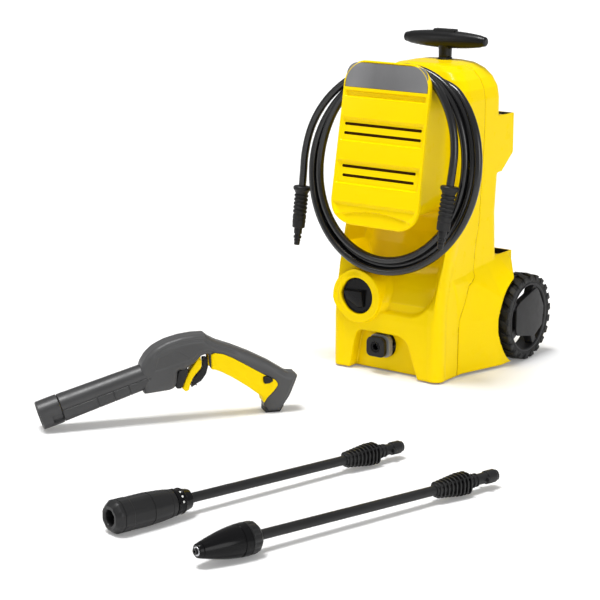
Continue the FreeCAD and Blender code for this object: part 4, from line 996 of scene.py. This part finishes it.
def sculpted(name, loop, voxel, look, shape, instead, holes):
    """A slab of the gun that is cut and melted, and then given its round form."""
    slab = gun_slab(loop, -SLAB_HALF, SLAB_HALF)
    made = piece(name, [slab], look, "gun", 50.0, melting(voxel, 1), instead, holes=holes)
    moved(made, shape)
    baked(made, [smoothing(2)])


trigger_pocket = gun_slab(TRIGGER_ROOM, -9.0, 9.0)
button_hole = gun_slab(soft_loop(scaled(BUTTON_OUTLINE, (347.3, 55), 1.06), 2.6), 0.0, 25.0)
sculpted("gun_body", gun_loop, 1.0, "graphite_plastic", shaped_body, ["gun_shell_left", "gun_shell_right"],
         [gun_slab(insert_loop, -22.0, 22.0), trigger_pocket])
sculpted("gun_soft_grip", insert_loop, 0.8, "yellow_grip", shaped_insert, ["gun_grip_insert"],
         [button_hole, trigger_pocket])

# barrel: an upper and a lower half that meet in a seam, with cross seams in the lower one
BARREL_TILT = math.atan2(45, 150)
BARREL_DIR = (GUN_ALONG * math.cos(BARREL_TILT) + Z * math.sin(BARREL_TILT)).normalized()
BARREL_START = gun_point(-8, 23.2)
CROSS_SEAMS = (89.8, 115.9, 141)


def barrel_shape(angle, along):
    """Seams along both sides and across the lower half, which is a little slimmer underneath."""
    degrees = math.degrees(angle) % 360.0
    mirrored = 180.0 - degrees if 90.0 < degrees < 270.0 else (degrees + 180.0) % 360.0 - 180.0
    scale = 1.0
    if abs(mirrored - 5.0) < 1.5 or abs(mirrored + 51.0) < 1.5:
        scale -= 0.035
    elif mirrored < 4.0 and min(abs(along - seam) for seam in CROSS_SEAMS) < 0.45:
        scale -= 0.035
    elif mirrored < -52.0:
        scale -= 0.015
    return scale


barrel_profile = [(34.5, 16), (34.5, 21.4), (35.3, 22)]
seam_stops = [s + d for s in CROSS_SEAMS for d in (-0.9, -0.4, 0.4, 0.9)]
stops = sorted(seam_stops + [45, 57, 69, 80, 100, 128, 152, 164, 172.6])
barrel_profile += [(s, 22.0 - 2.0 * (s - 34.0) / 140.0) for s in stops]
barrel_profile += [(173.2, 19), (174, 19), (174.6, 20), (178, 19.6), (179, 18.8), (179, 16)]
barrel = turned(barrel_profile, BARREL_START, BARREL_DIR, 180, barrel_shape)
piece("gun_barrel", [barrel], "barrel_plastic", "gun", 30.0)
throat_block = gun_slab(soft_loop(THROAT_OUTLINE, 3.0), -14.0, 14.0, 1.2)
foot_block = gun_slab(soft_loop(FOOT_OUTLINE, 2.0), -12.5, 12.5, 1.0)
piece("gun_throat", [throat_block, foot_block], "dark_plastic", "gun")
piece("gun_button_cap", [gun_slab(soft_loop(BUTTON_OUTLINE, 2.4), 6.0, 19.4, 0.8)], "black_plastic",
      "gun_button", instead=["gun_release_button"])

# muzzle: a ring with claws inside and a latch slot
muzzle_profile = [(0.8, 16.6), (0, 17.6), (0, 20.8), (1.4, 22.2), (16.9, 22.5), (17.1, 22.5), (24, 22.5),
                  (32.6, 22.5), (33.6, 21.6), (33.6, 16.6)]


def muzzle_shape(angle, along):
    degrees = (math.degrees(angle) + 180.0) % 360.0 - 180.0
    latch = -42.0 < degrees < -4.0 and 17.0 < along < 33.0
    return 0.84 if latch else 1.0


muzzle = [turned(muzzle_profile, BARREL_START, BARREL_DIR, 120, muzzle_shape, closed=True)]
ring_side, ring_up = frame_axes(BARREL_DIR)
for k in range(6):
    out = spoke(ring_side, ring_up, math.radians(60.0 * k + 30.0))
    muzzle.append(block(BARREL_START + BARREL_DIR * 9.0 + out * 14.6, (5, 4.6, 16),
                        (out, BARREL_DIR.cross(out), BARREL_DIR), 0.6))
bore = turned([(16, 0), (16, 16.8), (33, 16.8), (33, 0)], BARREL_START, BARREL_DIR, 64)
piece("gun_muzzle", muzzle + [bore], "barrel_plastic", "gun", instead=["gun_muzzle_ring"])


def pivot_pin(s, h, radius):
    """The pin on which the trigger or its lock turns."""
    half = 8.7
    return turned([(-half, 0.0), (-half, radius), (half, radius), (half, 0.0)], gun_point(s, h), GUN_SIDE, 32)


blade = gun_slab(soft_loop(TRIGGER_OUTLINE, steps=6), -8.5, 8.5, 1.6)
ribs = []
for k in range(5):
    share = k / 4.0
    place = gun_point(214.2 + 8.2 * share, 51.0 + 20.5 * share)
    ribs.append(block(place, (1.6, 3, 13), (GUN_ALONG, Z, GUN_SIDE), 0.6))
neck = gun_slab([(234, 90), (244, 90), (242, 103), (234, 103)], -7.0, 7.0, 1.0)
piece("trigger_lever", [blade, neck, pivot_pin(238, 100, 4)] + ribs, "yellow_grip", "trigger",
      instead=["gun_trigger"])
catch = [pivot_pin(250.5, 92, 2.5)]
for low, high, grow in ((-7.5, -3.6, 1), (-3.8, 3.8, 0.90), (3.6, 7.5, 1)):
    catch.append(gun_slab(soft_loop(scaled(LOCK_OUTLINE, (243, 72), grow)), low, high, 0.7))
rib_axes = (GUN_ALONG * 0.8 + Z * 0.6).normalized(), (Z * 0.8 - GUN_ALONG * 0.6).normalized(), GUN_SIDE
for k in range(4):
    catch.append(block(gun_point(232.5 + 5.0 * k, 57.5 + 5.6 * k, 7.4), (1.8, 11, 1.6), rib_axes, 0.5))
piece("trigger_catch", catch, "black_plastic", "trigger_lock", instead=["gun_lock"])

# ======== lances
LANCE_LENGTH = 503.0
# a lance's finned collar, and its bayonet end measured back from the lance's end
COLLAR_PROFILE = [(0, 5), (0, 8.6), (52, 12.4), (58, 12.4), (60, 8), (66, 8), (66, 10), (69, 10), (69, 8),
                  (73, 8), (73, 9.6), (75.5, 9.6), (75.5, 7.9)]
BAYONET_PROFILE = [(20, 7.9), (20, 9.5), (5, 9.5), (3.4, 8), (0, 7.8), (0, 3)]


def lance_line(front, rear):
    """Where a lance starts and the direction in which it lies."""
    return at(*front), (at(*rear) - at(*front)).normalized()


vario = lance_line((135.1, -964.4, 23.3), (259.7, -484.8, 17))
turbo = lance_line((297.8, -988.4, 22.9), (433.2, -519.2, 17.3))


def lance_tail(name, start, axis, tube_from, collar_from, body):
    """Tube, finned collar and bayonet end of a lance."""
    side, up = frame_axes(axis)
    tube = [(tube_from, 3.0), (tube_from, 6.8), (collar_from + 3.0, 6.8), (collar_from + 3.0, 3.0)]
    core = [(collar_from + along, radius) for along, radius in COLLAR_PROFILE]
    core += [(LANCE_LENGTH - back, radius) for back, radius in BAYONET_PROFILE]
    meshes = [turned(tube, start, axis, 48), turned(eased(core, 0.5), start, axis, 48)]
    for k in range(9):
        place = collar_from + 3.0 + 6.4 * k
        radius = 11.2 + (16.8 - 11.2) * min(1.0, (k + 1) / 7.0)
        fin = eased([(place, 7.0), (place, radius), (place + 2.4, radius), (place + 2.4, 7.0)], 0.5)
        meshes.append(turned(fin, start, axis, 48,
                             lambda angle, s: 1.0 - 0.09 * abs(math.cos(2.0 * angle)) ** 3))
    for k in range(4):
        out = spoke(side, up, math.pi / 2.0 * k + math.pi / 4.0)
        corners = [start + axis * along + out * radius + axis.cross(out) * wide
                   for along, low, high in ((collar_from + 1.0, 6.5, 10.0), (collar_from + 57.0, 6.5, 16.2))
                   for radius in (low, high) for wide in (-1.5, 1.5)]
        meshes.append(six_sided(corners, 0.5))
    for sign in (-1, 1):
        ear = [(sign * a, b) for a, b in ((7, -3.4), (12.6, -3), (13, 0), (12.6, 3), (7, 3.4))]
        meshes.append(prism(ear, start + axis * (LANCE_LENGTH - 24.2), side, up, -6.0, 0.8))
    piece(name, meshes, "lance_plastic", body, 34.0)


lance_tail("vario_tail", *vario, 100.0, 395.0, "vario")
lance_tail("turbo_tail", *turbo, 86.0, 390.0, "turbo")


def octagon(angle, along):
    """Eight soft flats along the vario head, fading out towards its rear."""
    turn = (angle + math.pi / 8.0) % (math.pi / 4.0) - math.pi / 8.0
    flat = math.cos(math.pi / 8.0) / math.cos(turn)
    share = 1.0 if along < 70.0 else max(0.0, 1.0 - (along - 70.0) / 27.0)
    return 1.0 + (min(flat * 1.045, 1.0) - 1.0) * share


head_profile = [(18, 8.2), (18, 10.4), (2, 10.8), (0.6, 11.6), (0, 13), (0, 16.2), (0.8, 17.4), (6.4, 22.2),
                (7.6, 22.7), (11.2, 22.7), (11.5, 22), (12.7, 22), (13, 22.7), (26, 22.7), (27, 22.2),
                (40, 22.4), (57, 22.4), (57.4, 21.5), (58.8, 21.5), (59.2, 22.2), (80, 20.8), (88, 19.8),
                (88.4, 19.2), (89.4, 19.2), (89.8, 19.6), (96.6, 18.6), (97.2, 17.8), (97.2, 8.2)]
piece("vario_cap", [turned(head_profile, *vario, 96, octagon)], "lance_plastic",
      "vario_nozzle", 24.0, instead=["vario_head"])
collar_profile = eased([(98, 6.2), (98, 18.4), (102, 18.4), (102.4, 17.6), (109, 17.4), (109.4, 18),
                        (111.5, 17.8), (113, 16.2), (124, 13.6), (126, 9), (126, 6.2)], 0.4)
stem = [(30, 3), (30, 8), (99, 8), (99, 3)]
piece("vario_collar", [turned(collar_profile, *vario, 72), turned(stem, *vario, 40, closed=True)],
      "gloss_black", "vario", instead=["vario_lance"])
dot_side, dot_up = frame_axes(vario[1])
dots = []
for degrees in (38, 62, 14):
    out = spoke(dot_side, dot_up, math.radians(degrees))
    dots.append(turned([(17, 0), (17.9, 1.5), (18.3, 1), (18.4, 0)],
                       vario[0] + vario[1] * 105.8, out, 20))
piece("vario_marks", dots, "white_plastic", "vario")

cone_profile = [(16, 4.6), (4.4, 4.8), (3.4, 5.6), (3, 7), (3, 8), (3.6, 8.9), (5.6, 9.7), (7.8, 10.3),
                (8.1, 9.8), (9, 9.9), (9.4, 10.8), (14, 12), (20, 13.6), (29, 15.8), (38, 17.8), (47, 19.5),
                (56, 20.7), (61.6, 21.3), (62, 20.3), (64.6, 20.4), (65.2, 21.5), (75, 22), (75.8, 21),
                (75.8, 17)]
piece("turbo_cone", [turned(cone_profile, *turbo, 96)], "gloss_black", "turbo",
      30.0, instead=["turbo_head"])
tip_profile = [(2.4, 4.3), (2.4, 5.8), (3.6, 6.6), (5, 6.6), (5, 4.3)]
piece("turbo_tip", [turned(tip_profile, *turbo, 48, closed=True)], "zinc_steel", "turbo")


def scalloped(angle, along):
    """Fourteen finger hollows around the rear collar."""
    return 1.0 - 0.045 * (0.5 + 0.5 * math.cos(14.0 * angle)) ** 2 if 78.5 < along < 89.0 else 1.0


rear_profile = [(76.2, 6.2), (76.2, 20.6), (77, 21.5), (78.3, 21.5), (79, 21.5), (84, 21.5), (88.6, 20.8),
                (89.4, 20), (90.6, 18.6), (93, 16.6), (93.6, 12), (93.6, 6.2)]
piece("turbo_collar", [turned(rear_profile, *turbo, 168, scalloped)], "lance_plastic",
      "turbo", 30.0, instead=["turbo_lance"])

# ======== end
low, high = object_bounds()
